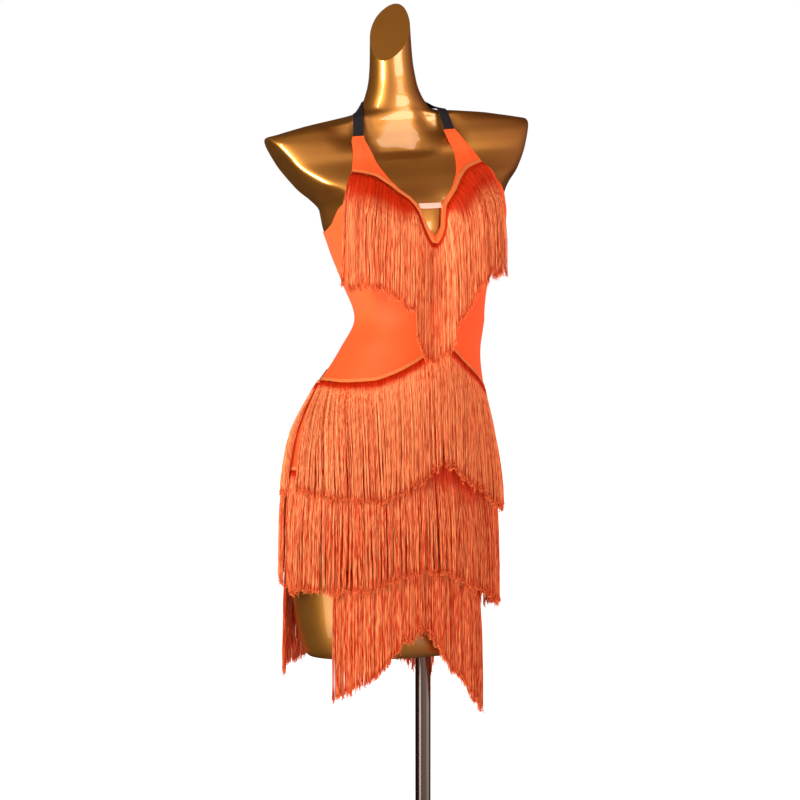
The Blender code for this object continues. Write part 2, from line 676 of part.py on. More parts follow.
def fringe(name, path, finish, rise, length, joints, fan=None, lean=0.0):
    """A narrow tape along a path of (height, angle) points, with locks of strands hanging from it.

    A tape with a `fan` lies square to its path, and its strands lean by that much at their roots. Any other tape
    lies plumb.
    """
    height, angle = np.array(path).T
    spot = np.linspace(0, 1, 600)
    share = np.linspace(0, 1, len(height))
    height, angle = np.interp(spot, share, height), np.interp(spot, share, angle)
    line = cover(height, angle, TAPE_STANDOFF)
    run = np.concatenate([[0], np.cumsum(np.linalg.norm(np.diff(line, axis=0), axis=1))])
    locks = round(run[-1] / (SKIRT_LOCK_PITCH if fan is None else BUST_LOCK_PITCH))
    pitch = run[-1] / locks
    margin = (1 - LOCK_SHARE) / 2
    starts = [[(k + margin) * pitch, (k + 1 - margin) * pitch] for k in range(locks)]
    at = np.array([0.0] + [s for pair in starts for s in pair] + [run[-1]])
    top = np.stack([np.interp(at, run, line[:, k]) for k in range(3)], axis=-1)
    ahead = np.stack([np.interp(at + 0.004, run, line[:, k]) for k in range(3)], axis=-1)
    behind = np.stack([np.interp(at - 0.004, run, line[:, k]) for k in range(3)], axis=-1)
    away = nearest(top)[1]
    along = ahead - behind
    if fan is None:
        down = np.array([0, 0, -1]) + away * away[:, 2:]
        lean = np.interp(at, run, np.interp(spot, share, lean * np.ones(len(share))))
    else:
        down = np.cross(along, away)
        down *= -np.sign(down[:, 2].sum())
        lean = np.interp(at, run, np.interp(spot, share, fan))
    down /= np.linalg.norm(down, axis=1, keepdims=True)
    low = top + down * TAPE_WIDTH
    distance, low_away = nearest(low)
    low = low + low_away * (TAPE_STANDOFF - distance)[:, None]

    places = hang(low, rise, length, lean)[[round(50 * joint) for joint in joints]]
    points = [*top, *(top + away * TAPE_THICKNESS)]
    rings = [low, low + low_away * TAPE_THICKNESS]
    for place in places:
        rings += [place, place + nearest(place)[1] * LOCK_THICKNESS]
    for ring in rings:
        points += [*ring]
    count = len(at)
    a, b, d, c = 0, count, 2 * count, 3 * count
    faces = [(a, b, c, d), tuple(k + count - 1 for k in (a, b, c, d))]
    for k in range(count - 1):
        n = k + 1
        faces += [(a + k, a + n, b + n, b + k), (b + k, b + n, c + n, c + k), (a + k, a + n, d + n, d + k)]
        if k % 2 == 0:
            faces.append((d + k, d + n, c + n, c + k))
            continue
        for r in range(len(places)):
            inner, outer = d + 2 * r * count, c + 2 * r * count
            ring = (inner + k, inner + n, outer + n, outer + k)
            below = tuple(v + 2 * count for v in ring)
            faces += [(ring[m], ring[(m + 1) % 4], below[(m + 1) % 4], below[m]) for m in range(4)]
        faces.append(below)
    points = np.array(points)
    used = sorted({v for face in faces for v in face})
    place_of = {v: k for k, v in enumerate(used)}
    faces = [tuple(place_of[v] for v in face) for face in faces]
    return add_object(name, closed(name, points[used], faces), finish)


def tape_path(line, start, end, lift):
    angle = np.linspace(start, end, 80)
    return list(zip(along_line(line, angle) + lift, angle))


def leans(path, table):
    """The lean of the strands at each point of a tape's path."""
    return np.interp([angle for _, angle in path], *np.array(table, float).T)


def build_fringes(finish):
    skirt_joints = (0.12, 0.32, 0.6, 1.0)
    bust_joints = (0.1, 0.2, 0.32, 0.46, 0.66, 1.0)
    table = np.array(BUST_TAPE + tuple((-angle, height) for angle, height in BUST_TAPE[-2::-1])).T
    share = np.linspace(0, 1, table.shape[1])
    fine = np.linspace(0, 1, 121)
    height = smooth_through(share, table[1], fine)
    offset = -smooth_through(share, table[0], fine)
    fan = FAN * np.sign(offset) * np.clip((np.abs(offset) - FAN_START) / (25 - FAN_START), 0, 1)
    path = list(zip(height, on_dress(height, offset)))
    fringe("bust_fringe", path, finish, 0.0040, 0.025, bust_joints, fan)
    hip_front = tape_path(HIP_LINE, -99.5, 93.5, 0.003)
    lean = leans(hip_front, HIP_LEAN_FRONT)
    fringe("hip_fringe_front", hip_front, finish, 0.0085, FRINGE_DROP, skirt_joints, lean=lean)
    hip_back = tape_path(HIP_LINE, 96, 258, -0.001)
    lean = leans(hip_back, HIP_LEAN_BACK)
    fringe("hip_fringe_back", hip_back, finish, 0.0110, 0.110, skirt_joints, lean=lean)
    middle_front = tape_path(MIDDLE_LINE_FRONT, -98.5, 92.5, 0)
    fringe("middle_fringe_front", middle_front, finish, 0.0042, 0.090, skirt_joints)
    middle_back = tape_path(MIDDLE_LINE_BACK, 95.5, 258.5, 0)
    fringe("middle_fringe_back", middle_back, finish, 0.0042, 0.090, skirt_joints)
    hem_front = tape_path(HEM_LINE_FRONT, -56, 50, 0.006)
    fringe("hem_fringe_front", hem_front, finish, 0.0004, 0.090, skirt_joints)
    hem_back = tape_path(HEM_LINE_BACK, 104.5, 249.5, 0.006)
    fringe("hem_fringe_back", hem_back, finish, 0.0004, 0.090, skirt_joints)


def clear_scene():
    for thing in list(bpy.data.objects):
        bpy.data.objects.remove(thing)


def main():
    clear_scene()
    gold = material("gold_lacquer", (0.55, 0.30, 0.08), 0.25, 0.8)
    steel = material("brushed_steel", (0.45, 0.43, 0.42), 0.3, 1.0)
    lycra = material("orange_lycra", (0.90, 0.16, 0.03), 0.7)
    rayon = material("orange_fringe", (0.88, 0.19, 0.06), 0.6)
    black = material("black_elastic", (0.02, 0.018, 0.022), 0.8)
    pink = material("pink_elastic", (0.86, 0.60, 0.50), 0.7)
    build_form(gold)
    build_pole(steel)
    build_base(steel)
    build_bodice_front(lycra)
    build_bodice_back(lycra)
    build_skirt("skirt_front", DRESS_CENTRE, SKIRT_SIDE, FRONT_SLIT, HEM_LINE_FRONT, lycra)
    build_skirt("skirt_back", DRESS_CENTRE + 180, 82.8, BACK_SLIT, HEM_LINE_BACK, lycra)
    build_back_elastic(black)
    build_halter_strap(black)
    build_bridge_elastic(pink)
    build_fringes(rayon)


main()
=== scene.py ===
import math
from collections import namedtuple

import bmesh
import bpy
import numpy as np
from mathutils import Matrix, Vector


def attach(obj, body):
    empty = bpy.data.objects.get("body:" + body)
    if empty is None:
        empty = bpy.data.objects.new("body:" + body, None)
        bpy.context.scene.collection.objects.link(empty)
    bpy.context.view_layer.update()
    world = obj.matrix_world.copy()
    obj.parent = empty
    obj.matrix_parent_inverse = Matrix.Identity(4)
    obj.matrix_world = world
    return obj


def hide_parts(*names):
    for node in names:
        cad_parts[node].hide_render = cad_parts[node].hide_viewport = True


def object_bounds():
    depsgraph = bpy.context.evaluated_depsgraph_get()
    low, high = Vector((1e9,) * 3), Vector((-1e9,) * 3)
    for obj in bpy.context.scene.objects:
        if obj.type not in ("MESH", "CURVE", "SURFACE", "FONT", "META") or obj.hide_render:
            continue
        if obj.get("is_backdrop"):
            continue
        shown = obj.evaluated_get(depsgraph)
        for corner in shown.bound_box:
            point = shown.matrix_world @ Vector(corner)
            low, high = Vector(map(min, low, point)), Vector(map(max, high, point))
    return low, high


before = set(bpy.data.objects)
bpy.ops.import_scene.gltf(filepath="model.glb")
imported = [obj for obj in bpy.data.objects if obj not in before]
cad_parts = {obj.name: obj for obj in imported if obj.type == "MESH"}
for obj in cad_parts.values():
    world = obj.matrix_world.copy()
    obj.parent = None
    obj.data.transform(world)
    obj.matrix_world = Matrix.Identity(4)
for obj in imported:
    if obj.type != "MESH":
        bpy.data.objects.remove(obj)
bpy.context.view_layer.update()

# ---------------------------------------------------------------- camera
# It stands level with the hips, 3.6 m in front of the pole and 32 degrees round to the wearer's right, with a long
# lens that keeps the form upright. The pole stands a little to the right of the middle of the picture.

TURN = math.radians(-32)
CAMERA_DISTANCE = 3.584
CAMERA_HEIGHT = 0.968
POLE_OFF_CENTRE = 0.037

towards_camera = Vector((math.sin(TURN), -math.cos(TURN), 0))
camera_right = Vector((math.cos(TURN), math.sin(TURN), 0))


def add_to_scene(name, data):
    made = bpy.data.objects.new(name, data)
    bpy.context.scene.collection.objects.link(made)
    return made


camera = bpy.data.cameras.new("camera")
camera.lens = 100
camera.sensor_width = 36
view_point = add_to_scene("camera", camera)
view_point.location = (
    towards_camera * CAMERA_DISTANCE - camera_right * POLE_OFF_CENTRE + Vector((0, 0, CAMERA_HEIGHT))
)
view_point.rotation_euler = (-towards_camera).to_track_quat("-Z", "Y").to_euler()
bpy.context.scene.camera = view_point
bpy.context.scene.view_settings.view_transform = "Standard"

# ---------------------------------------------------------------- studio
# A white studio: a pale floor without an edge, and soft boxes round the form. What the gloss mirrors is dim, as it is
# in a studio with dark walls, and only the soft boxes are bright. The high and low boxes light nothing that is matt:
# they put the long highlights on the neck, the shoulders and the pole.

FLOOR_RADIUS = 60
AIM_HEIGHT = 1.15
SOFT_BOXES = (
    # name, side and height of its centre in metres, distance towards the camera, width, height, watts, colour, and
    # whether it lights what is matt and shows in what is glossy
    ("left_key", -1.9, 1.7, 2.3, 0.8, 1.7, 96, "#FFFFFF", True, True),
    ("right_window", 2.05, 1.9, 2.7, 1.7, 1.4, 36, "#FFFFFF", False, True),
    ("right_fill", 2.7, 1.6, 1.6, 1.5, 1.7, 32, "#FF8A5E", True, False),
    ("high_left", -1.55, 3.15, 2.0, 0.3, 1.4, 18, "#FFFFFF", False, True),
    ("high_right", 1.6, 3.1, 2.2, 0.8, 1.2, 8, "#FFFFFF", False, True),
    ("low_left", -1.4, 0.35, 1.4, 0.7, 0.9, 3.4, "#FFFFFF", False, True),
    ("low_right", 1.9, 0.35, 0.4, 1.6, 0.9, 2.0, "#FFFFFF", False, True),
    ("back_left", -1.6, 1.9, -1.7, 0.8, 1.6, 14, "#FFFFFF", True, False),
    ("back_right", 1.7, 1.9, -1.6, 0.8, 1.6, 14, "#FFFFFF", True, False),
)


def linear(hex_colour):
    """An sRGB hex colour as linear red, green, blue and alpha."""
    values = [int(hex_colour[k : k + 2], 16) / 255 for k in (1, 3, 5)]
    return (*(v / 12.92 if v <= 0.04045 else ((v + 0.055) / 1.055) ** 2.4 for v in values), 1.0)


def add_node(tree, kind, inputs=None, **settings):
    """Adds a node. Settings are its own, and inputs hold a socket's value or the output that feeds it."""
    node = tree.nodes.new("ShaderNode" + kind)
    for name, value in settings.items():
        setattr(node, name, value)
    for name, value in (inputs or {}).items():
        if isinstance(value, bpy.types.NodeSocket):
            tree.links.new(value, node.inputs[name])
        else:
            node.inputs[name].default_value = value
    return node


def new_material(name, colour, roughness, **sockets):
    """A material with one Principled shader. Sockets are given with _ for each space in their names."""
    made = bpy.data.materials.new(name)
    made.use_nodes = True
    shader = made.node_tree.nodes["Principled BSDF"]
    shader.inputs["Base Color"].default_value = linear(colour)
    shader.inputs["Roughness"].default_value = roughness
    for socket, value in sockets.items():
        shader.inputs[socket.replace("_", " ")].default_value = value
    return made, made.node_tree, shader


world = bpy.data.worlds.new("studio")
bpy.context.scene.world = world
world.use_nodes = True
sky = world.node_tree
room = sky.nodes["Background"]

# The room is pale in front and to the right, dim and brown behind, and darker still below the floor's edge.
direction = add_node(sky, "TexCoord")
brightest = (*(towards_camera * 0.85 + camera_right * 0.5).xy, -0.35)
front = add_node(
    sky, "VectorMath", {0: direction.outputs["Generated"], 1: brightest}, operation="DOT_PRODUCT"
)
bright = add_node(
    sky, "MapRange", {"Value": front.outputs["Value"], "From Min": -0.35, "To Min": 0.10, "To Max": 0.72}
)
level = add_node(sky, "SeparateXYZ", {0: direction.outputs["Generated"]})
low = add_node(sky, "MapRange", {"Value": level.outputs["Z"], "From Min": -0.12, "From Max": -0.02, "To Min": 0.4})
tone = add_node(
    sky, "Mix", {0: bright.outputs["Result"], 6: linear("#D08458"), 7: linear("#FFF8F0")}, data_type="RGBA"
)
sky.links.new(tone.outputs[2], room.inputs["Color"])
mirrored = add_node(sky, "Math", {0: bright.outputs["Result"], 1: low.outputs["Result"]}, operation="MULTIPLY")
sky.links.new(mirrored.outputs[0], room.inputs["Strength"])
white = add_node(sky, "Background", {"Color": (1, 1, 1, 1), "Strength": 1.0})
seen = add_node(sky, "LightPath")
both = add_node(sky, "MixShader", {0: seen.outputs["Is Camera Ray"], 1: room.outputs[0], 2: white.outputs[0]})
sky.links.new(both.outputs[0], sky.nodes["World Output"].inputs["Surface"])

for name, side, height, front, width, tall, watts, colour, lights, shows in SOFT_BOXES:
    light = bpy.data.lights.new(name, "AREA")
    light.shape = "RECTANGLE"
    light.size = width
    light.size_y = tall
    light.energy = watts
    light.color = linear(colour)[:3]
    box = add_to_scene(name, light)
    box.location = camera_right * side + towards_camera * front + Vector((0, 0, height))
    aim = Vector((0, 0, min(height, AIM_HEIGHT)))
    box.rotation_euler = (aim - box.location).to_track_quat("-Z", "Y").to_euler()
    box.visible_diffuse = lights
    box.visible_glossy = shows

# Matt white floor paint. It glows a little, so that it stays white up to its edge, and less by the stand, where the
# plate's soft shadow falls.
paint, tree, shader = new_material("white_floor_paint", "#F2F1EF", 0.9)
shader.inputs["Emission Color"].default_value = (1, 1, 1, 1)
spot = add_node(tree, "TexCoord")
away_from_stand = add_node(tree, "VectorMath", {0: spot.outputs["Object"]}, operation="LENGTH")
glow = add_node(
    tree,
    "MapRange",
    {"Value": away_from_stand.outputs["Value"], "From Min": 0.3, "From Max": 1.8, "To Min": 0.72, "To Max": 1.1},
)
tree.links.new(glow.outputs["Result"], shader.inputs["Emission Strength"])
bpy.ops.mesh.primitive_circle_add(vertices=96, radius=FLOOR_RADIUS, fill_type="NGON", location=(0, 0, -0.0005))
floor = bpy.context.object
floor.name = "floor"
floor.data.materials.append(paint)
floor.visible_glossy = False
floor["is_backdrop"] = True

# ---------------------------------------------------------------- display form
# A torso without limbs or head, moulded as a hollow plastic shell, sprayed with gold lacquer and polished. Its neck
# and shoulders are cut off flat, with a rounded rim.

# The plain form, section by section: its half width, its depth in front and behind, its middle, and how far it is
# turned and tilted, in metres and degrees. The chest swells forward of it.
Section = namedtuple("Section", "height half_width front back centre_x centre_y turn tilt")
FORM_SECTIONS = (
    Section(0.560, 0.134, 0.087, 0.092, -0.044, 0.036, 0, 0),
    Section(0.570, 0.144, 0.096, 0.101, -0.044, 0.036, 0, 0),
    Section(0.650, 0.160, 0.105, 0.115, -0.042, 0.040, 0, 0),
    Section(0.740, 0.173, 0.110, 0.126, -0.035, 0.042, 0, 0),
    Section(0.820, 0.177, 0.110, 0.132, -0.032, 0.042, 0, 0),
    Section(0.900, 0.168, 0.108, 0.126, -0.031, 0.040, 0, 0),
    Section(0.980, 0.145, 0.102, 0.104, -0.024, 0.034, 0, 0),
    Section(1.050, 0.116, 0.092, 0.086, -0.007, 0.028, 0, 0),
    Section(1.100, 0.106, 0.086, 0.082, 0.008, 0.024, 2, 0),
    Section(1.160, 0.120, 0.088, 0.086, -0.001, 0.022, 6, 1),
    Section(1.220, 0.139, 0.090, 0.092, -0.005, 0.022, 10, 2),
    Section(1.260, 0.151, 0.086, 0.092, -0.004, 0.023, 12, 4),
    Section(1.285, 0.154, 0.083, 0.090, -0.006, 0.024, 13, 5),
    Section(1.305, 0.170, 0.079, 0.088, -0.010, 0.025, 14, 6),
    Section(1.325, 0.204, 0.076, 0.086, -0.017, 0.026, 14, 6.2),
    Section(1.360, 0.240, 0.072, 0.082, -0.022, 0.029, 15, 6.2),
    Section(1.385, 0.246, 0.064, 0.070, -0.025, 0.031, 15, 6.2),
    Section(1.404, 0.226, 0.055, 0.057, -0.027, 0.032, 15, 6.2),
    Section(1.420, 0.160, 0.049, 0.047, -0.030, 0.033, 15, 6.2),
    Section(1.436, 0.062, 0.0455, 0.045, -0.034, 0.033, 15, 5),
    Section(1.455, 0.047, 0.0425, 0.042, -0.037, 0.032, 15, 3),
    Section(1.484, 0.038, 0.037, 0.037, -0.039, 0.031, 15, 0),
    Section(1.520, 0.034, 0.033, 0.033, -0.042, 0.030, 15, 0),
    Section(1.640, 0.030, 0.030, 0.030, -0.046, 0.030, 15, 0),
)
SECTION_POWER = 2.25
CHEST_HEIGHT = 1.250
CHEST_RISE = 0.052
CHEST_HOLLOW = 0.15
CHEST_HOLLOW_HALF_WIDTH = 0.075
CHEST_REACH = 0.110
CHEST_FADE = 0.28

# The mesh's rings lie evenly along the form, as measured at these angles.
FORM_RINGS = 210
FORM_SIDES = 152
MEASURED_AT = np.array([0.0, 45, 90, 180, 270])

# The shoulders' cuts run through two points each, given by how far out they are and by their height. The neck's cut
# is a sloping plane.
SHOULDER_CUT = ((0.160, 1.289), (0.2135, 1.395))
SHOULDER_RIM_RADIUS = 0.022
SHOULDER_CUT_FADE = 0.022
NECK_CUT_HEIGHT = 1.564
NECK_CUT_SLOPE = math.radians(58)
NECK_CUT_TURN = math.radians(47)
NECK_CUT_LOWEST = 1.47
NECK_CUT_MARGIN = 0.02
NECK_RIM_RADIUS = 0.0025
NECK_RIM_FRAME = 0.0015

# Where the front sinks in, in metres. The foot of the neck and the hollows beside it are placed by how far they lie
# from the neck's middle: where each begins and where it is at its full depth.
Dimple = namedtuple("Dimple", "across height half_width half_height depth")
NECK_MIDDLE = -0.036
NECK_SIDES_INNER = (0.034, 0.062)
NECK_SIDES_OUTER = (0.122, 0.078)
NECK_SIDES_HEIGHT = 1.405
NECK_SIDES_REACH = 0.042
NECK_SIDES_DEPTH = 0.012
NECK_FOOT_SIDE = (0.060, 0.034)
NECK_FOOT_TOP = (1.432, 1.374)
NECK_FOOT_LOW = (1.354, 1.368)
NECK_FOOT_DEPTH = 0.0105
THROAT = Dimple(-0.021, 1.362, 0.012, 0.018, 0.0025)
CHEST_DIP = Dimple(-0.013, 1.245, 0.030, 0.060, 0.007)


def smooth_through(heights, values, at):
    """The value at each height, on a curve through the rows that never swings past them."""
    gap = np.diff(heights)
    slope = np.diff(values) / gap
    rising = slope[:-1] * slope[1:] > 0
    total = np.where(rising, slope[:-1] + slope[1:], 1.0)
    tangent = np.concatenate(
        [slope[:1], np.where(rising, 2 * slope[:-1] * slope[1:] / total, 0.0), slope[-1:]]
    )
    at = np.clip(at, heights[0], heights[-1])
    row = np.clip(np.searchsorted(heights, at) - 1, 0, len(gap) - 1)
    width = gap[row]
    t = (at - heights[row]) / width
    return (
        values[row] * (1 + 2 * t) * (1 - t) ** 2
        + values[row + 1] * t * t * (3 - 2 * t)
        + tangent[row] * width * t * (1 - t) ** 2
        - tangent[row + 1] * width * t * t * (1 - t)
    )


def smooth_step(share):
    share = np.clip(share, 0, 1)
    return share * share * (3 - 2 * share)


def ramp(value, start, end):
    """0 at the start and 1 at the end, with a smooth rise between them."""
    return smooth_step((value - start) / (end - start))


def swell(value, middle, reach):
    """1 at the middle, with a smooth fall to 0 at a reach on both sides."""
    return smooth_step(1 - np.abs(value - middle) / reach)


section_rows = np.array(FORM_SECTIONS, float).T
fine_heights = np.linspace(section_rows[0][0], section_rows[0][-1], 2161)
fine_sections = [smooth_through(section_rows[0], column, fine_heights) for column in section_rows[1:]]


def section_at(height):
    """The form's section at each height, as a Section of arrays."""
    return Section(height, *(np.interp(height, fine_heights, column) for column in fine_sections))


def chest_rise(across, height, half_width):
    """How far the chest stands forward of the plain section."""
    dome = np.clip(1 - ((height - CHEST_HEIGHT) / CHEST_REACH) ** 2, 0, 1) ** 1.5
    middle = np.clip(np.abs(across) / CHEST_HOLLOW_HALF_WIDTH, 0, 1)
    hollow = CHEST_HOLLOW * (1 + np.cos(np.pi * middle)) / 2
    return CHEST_RISE * dome * (1 - hollow) * smooth_step((1 - np.abs(across) / half_width) / CHEST_FADE)


def skin(height, angle):
    """Points on the form. Angle 0 is the centre front and 90 the wearer's left side, in degrees."""
    height, angle = np.broadcast_arrays(np.asarray(height, float), np.radians(angle))
    s = section_at(height)
    sine, cosine = np.sin(angle), np.cos(angle)
    across = s.half_width * np.sign(sine) * np.abs(sine) ** (2 / SECTION_POWER)
    depth = np.abs(cosine) ** (2 / SECTION_POWER)
    rise = chest_rise(across, height, s.half_width)
    along = np.where(cosine > 0, -s.front * depth - rise, s.back * depth)
    turn = np.radians(s.turn)
    x = s.centre_x + across * np.cos(turn) + along * np.sin(turn)
    y = s.centre_y - across * np.sin(turn) + along * np.cos(turn)
    return np.stack([x, y, height + across * np.tan(np.radians(s.tilt))], axis=-1)


def outside(points):
    """How far each point lies outside the form, near its surface. It is below zero inside."""
    level = points[..., 2]
    for _ in range(3):
        s = section_at(level)
        turn = np.radians(s.turn)
        x, y = points[..., 0] - s.centre_x, points[..., 1] - s.centre_y
        across = x * np.cos(turn) - y * np.sin(turn)
        along = x * np.sin(turn) + y * np.cos(turn)
        level = points[..., 2] - across * np.tan(np.radians(s.tilt))
    rise = chest_rise(across, level, s.half_width)
    along = np.where(along + rise < 0, along + rise, np.maximum(along, 0))
    depth = np.where(along < 0, s.front, s.back)
    share = (
        np.abs(across / s.half_width) ** SECTION_POWER + np.abs(along / depth) ** SECTION_POWER
    ) ** (1 / SECTION_POWER)
    return (1 - 1 / np.maximum(share, 1e-6)) * np.hypot(across, along)


def nearest(points):
    """The distance of each point from the form, and the unit direction away from it."""
    step = 0.002
    slope = np.stack(
        [outside(points + step * axis) - outside(points - step * axis) for axis in np.eye(3)], axis=-1
    ) / (2 * step)
    length = np.linalg.norm(slope, axis=-1, keepdims=True)
    return outside(points) / length[..., 0], slope / length


def cover(height, angle, distance):
    """Points that stand off the form by a distance."""
    base = skin(height, angle)
    return base + np.asarray(distance)[..., None] * nearest(base)[1]


def mesh_from(name, points, faces):
    """A mesh with every face turned outwards and shaded smooth."""
    mesh = bpy.data.meshes.new(name)
    mesh.from_pydata(np.asarray(points).tolist(), [], [tuple(int(v) for v in face) for face in faces])
    bm = bmesh.new()
    bm.from_mesh(mesh)
    bmesh.ops.recalc_face_normals(bm, faces=bm.faces[:])
    bm.to_mesh(mesh)
    bm.free()
    mesh.shade_smooth()
    return mesh


def tube_faces(rings, sides):
    """The faces of a closed tube whose points run ring by ring, with one flat face at each end."""
    ids = np.arange(rings * sides).reshape(rings, sides)
    near, far = ids[:-1], ids[1:]
    faces = np.stack([near, np.roll(near, -1, 1), np.roll(far, -1, 1), far], axis=-1).reshape(-1, 4).tolist()
    return faces + [ids[0].tolist(), ids[-1].tolist()]


def cut_neck(bm, point, normal):
    """Cuts the neck off at a plane and closes it with a flat face that has a round rim.

    The face is framed by a narrow ring, so that it stays flat to the eye.
    """
    faces = [f for f in bm.faces if f.calc_center_median().z > NECK_CUT_LOWEST]
    faces = [f for f in faces if max((v.co - point).dot(normal) for v in f.verts) > -NECK_CUT_MARGIN]
    edges = {e for f in faces for e in f.edges}
    corners = {v for f in faces for v in f.verts}
    cut = bmesh.ops.bisect_plane(
        bm, geom=[*faces, *edges, *corners], dist=1e-6, plane_co=point, plane_no=normal, clear_outer=True
    )
    rim = [e for e in cut["geom_cut"] if isinstance(e, bmesh.types.BMEdge) and e.is_valid and e.is_boundary]
    bmesh.ops.holes_fill(bm, edges=rim, sides=0)
    bmesh.ops.bevel(
        bm, geom=rim, offset=NECK_RIM_RADIUS, segments=6, profile=0.5, affect="EDGES", clamp_overlap=True
    )
    flats = [face for face in bm.faces if len(face.verts) > 8]
    bmesh.ops.inset_individual(bm, faces=flats, thickness=NECK_RIM_FRAME)


def front_hollows(across, level):
    """How far the form sinks in beside the neck, at its foot, at the throat and in the middle of the chest."""
    aside = np.abs(across - NECK_MIDDLE)
    sides = NECK_SIDES_DEPTH * ramp(aside, *NECK_SIDES_INNER) * ramp(aside, *NECK_SIDES_OUTER)
    foot = NECK_FOOT_DEPTH * ramp(aside, *NECK_FOOT_SIDE) * ramp(level, *NECK_FOOT_TOP) * ramp(level, *NECK_FOOT_LOW)
    sink = sides * swell(level, NECK_SIDES_HEIGHT, NECK_SIDES_REACH) + foot
    for dip in (THROAT, CHEST_DIP):
        sink = sink + dip.depth * swell(across, dip.across, dip.half_width) * swell(level, dip.height, dip.half_height)
    return sink


def cut_shoulder(points, side):
    """Presses all that lies past the shoulder's cut flat onto it, with a broad round rim. It fades out below."""
    ends = []
    for across, height in SHOULDER_CUT:
        s = section_at(height)
        turn = math.radians(s.turn)
        x = s.centre_x + side * across * math.cos(turn)
        y = s.centre_y - side * across * math.sin(turn)
        ends.append(np.array([x, y, height + side * across * math.tan(math.radians(s.tilt))]))
    turn = math.radians(section_at(SHOULDER_CUT[1][1]).turn)
    normal = np.cross(ends[1] - ends[0], [math.sin(turn), math.cos(turn), 0])
    normal *= side * np.sign(normal[0]) / np.linalg.norm(normal)
    past = (points - ends[0]) @ normal
    near = np.clip(1 - np.abs(past) / SHOULDER_RIM_RADIUS, 0, 1)
    pressed = np.minimum(past, 0) - near * near * SHOULDER_RIM_RADIUS / 4
    share = smooth_step((points[..., 2] - ends[0][2] + SHOULDER_CUT_FADE / 2) / SHOULDER_CUT_FADE)
    share = np.where(past > -SHOULDER_RIM_RADIUS, share, 0)
    return points + (share * (pressed - past))[..., None] * normal


def build_form():
    """The torso as rings that lie evenly along its surface, with its hollows pressed in and its ends cut flat."""
    rows = section_rows[0]
    fine = np.linspace(rows[0], rows[-1], 4000)
    ribs = skin(fine[:, None], MEASURED_AT[None, :])
    travel = np.linalg.norm(np.diff(ribs, axis=0), axis=-1).max(axis=1)
    run = np.concatenate([[0], np.cumsum(travel)])
    levels = np.interp(np.linspace(0, run[-1], FORM_RINGS), run, fine)
    angles = np.arange(FORM_SIDES) * 360 / FORM_SIDES
    points = skin(levels[:, None], angles[None, :])
    s = section_at(levels[:, None])
    across = (points[..., 0] - s.centre_x) / np.cos(np.radians(s.turn))
    facing = np.cos(np.radians(angles))[None, :] > 0
    sink = front_hollows(across, levels[:, None]) * facing
    points = points - sink[..., None] * nearest(points)[1]
    for side in (-1, 1):
        points = cut_shoulder(points, side)
    mesh = mesh_from("gold_form", points.reshape(-1, 3), tube_faces(FORM_RINGS, FORM_SIDES))
    bm = bmesh.new()
    bm.from_mesh(mesh)

    neck = section_at(NECK_CUT_HEIGHT)
    facing = -math.pi / 2 - NECK_CUT_TURN
    lean = math.sin(NECK_CUT_SLOPE)
    normal = Vector((math.cos(facing) * lean, math.sin(facing) * lean, math.cos(NECK_CUT_SLOPE)))
    cut_neck(bm, Vector((neck.centre_x, neck.centre_y, NECK_CUT_HEIGHT)), normal)
    bmesh.ops.recalc_face_normals(bm, faces=bm.faces[:])
    bm.to_mesh(mesh)
    bm.free()
    mesh.shade_smooth()
    return add_to_scene("gold_form", mesh)


# Gold lacquer: fine metal flake under a clear coat. The flake spreads the studio into broad bands of brown and gold,
# and the coat mirrors the soft boxes sharply, over a faint orange peel about 6 mm wide.
gold, tree, shader = new_material(
    "gold_lacquer_on_moulded_plastic",
    "#B0702C",
    0.38,
    Metallic=0.9,
    Coat_Weight=1.0,
    Coat_Roughness=0.05,
    Coat_IOR=1.6,
)
place = add_node(tree, "TexCoord")
peel = add_node(tree, "TexNoise", {"Vector": place.outputs["Object"], "Scale": 160.0, "Detail": 2.0})
bump = add_node(tree, "Bump", {"Strength": 0.03, "Distance": 0.001, "Height": peel.outputs["Fac"]})
tree.links.new(bump.outputs["Normal"], shader.inputs["Coat Normal"])
tree.links.new(bump.outputs["Normal"], shader.inputs["Normal"])
cloud = add_node(tree, "TexNoise", {"Vector": place.outputs["Object"], "Scale": 7.0, "Detail": 3.0})
tint = add_node(tree, "Mix", {0: cloud.outputs["Fac"], 6: linear("#BC782C"), 7: linear("#D4923C")}, data_type="RGBA")
tree.links.new(tint.outputs[2], shader.inputs["Base Color"])

form = build_form()
form.data.materials.append(gold)
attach(form, "root")
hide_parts("display_form")

# ---------------------------------------------------------------- pole and base
# The form stands on a 25 mm drawn steel tube that is screwed into a round steel plate. Both are brushed and have
# gone a warm grey.

POLE_RADIUS = 0.0125
POLE_FOOT = 0.0103
POLE_TOP = 0.620
PLATE_RADIUS = 0.170
PLATE_THICKNESS = 0.010
PLATE_ROUNDING = 0.003
CHAMFER = 0.001


def turned(name, profile, sides):
    """A solid of revolution about the pole's axis, from (radius, height) rows. The first and last close it."""
    profile = np.array(profile, float)
    angle = np.arange(sides) * 2 * math.pi / sides
    radius, height = profile[:, :1], profile[:, 1:]
    points = np.stack(
        [radius * np.cos(angle), radius * np.sin(angle), height + 0 * angle], axis=-1
    ).reshape(-1, 3)
    return add_to_scene(name, mesh_from(name, points, tube_faces(len(profile), sides)))


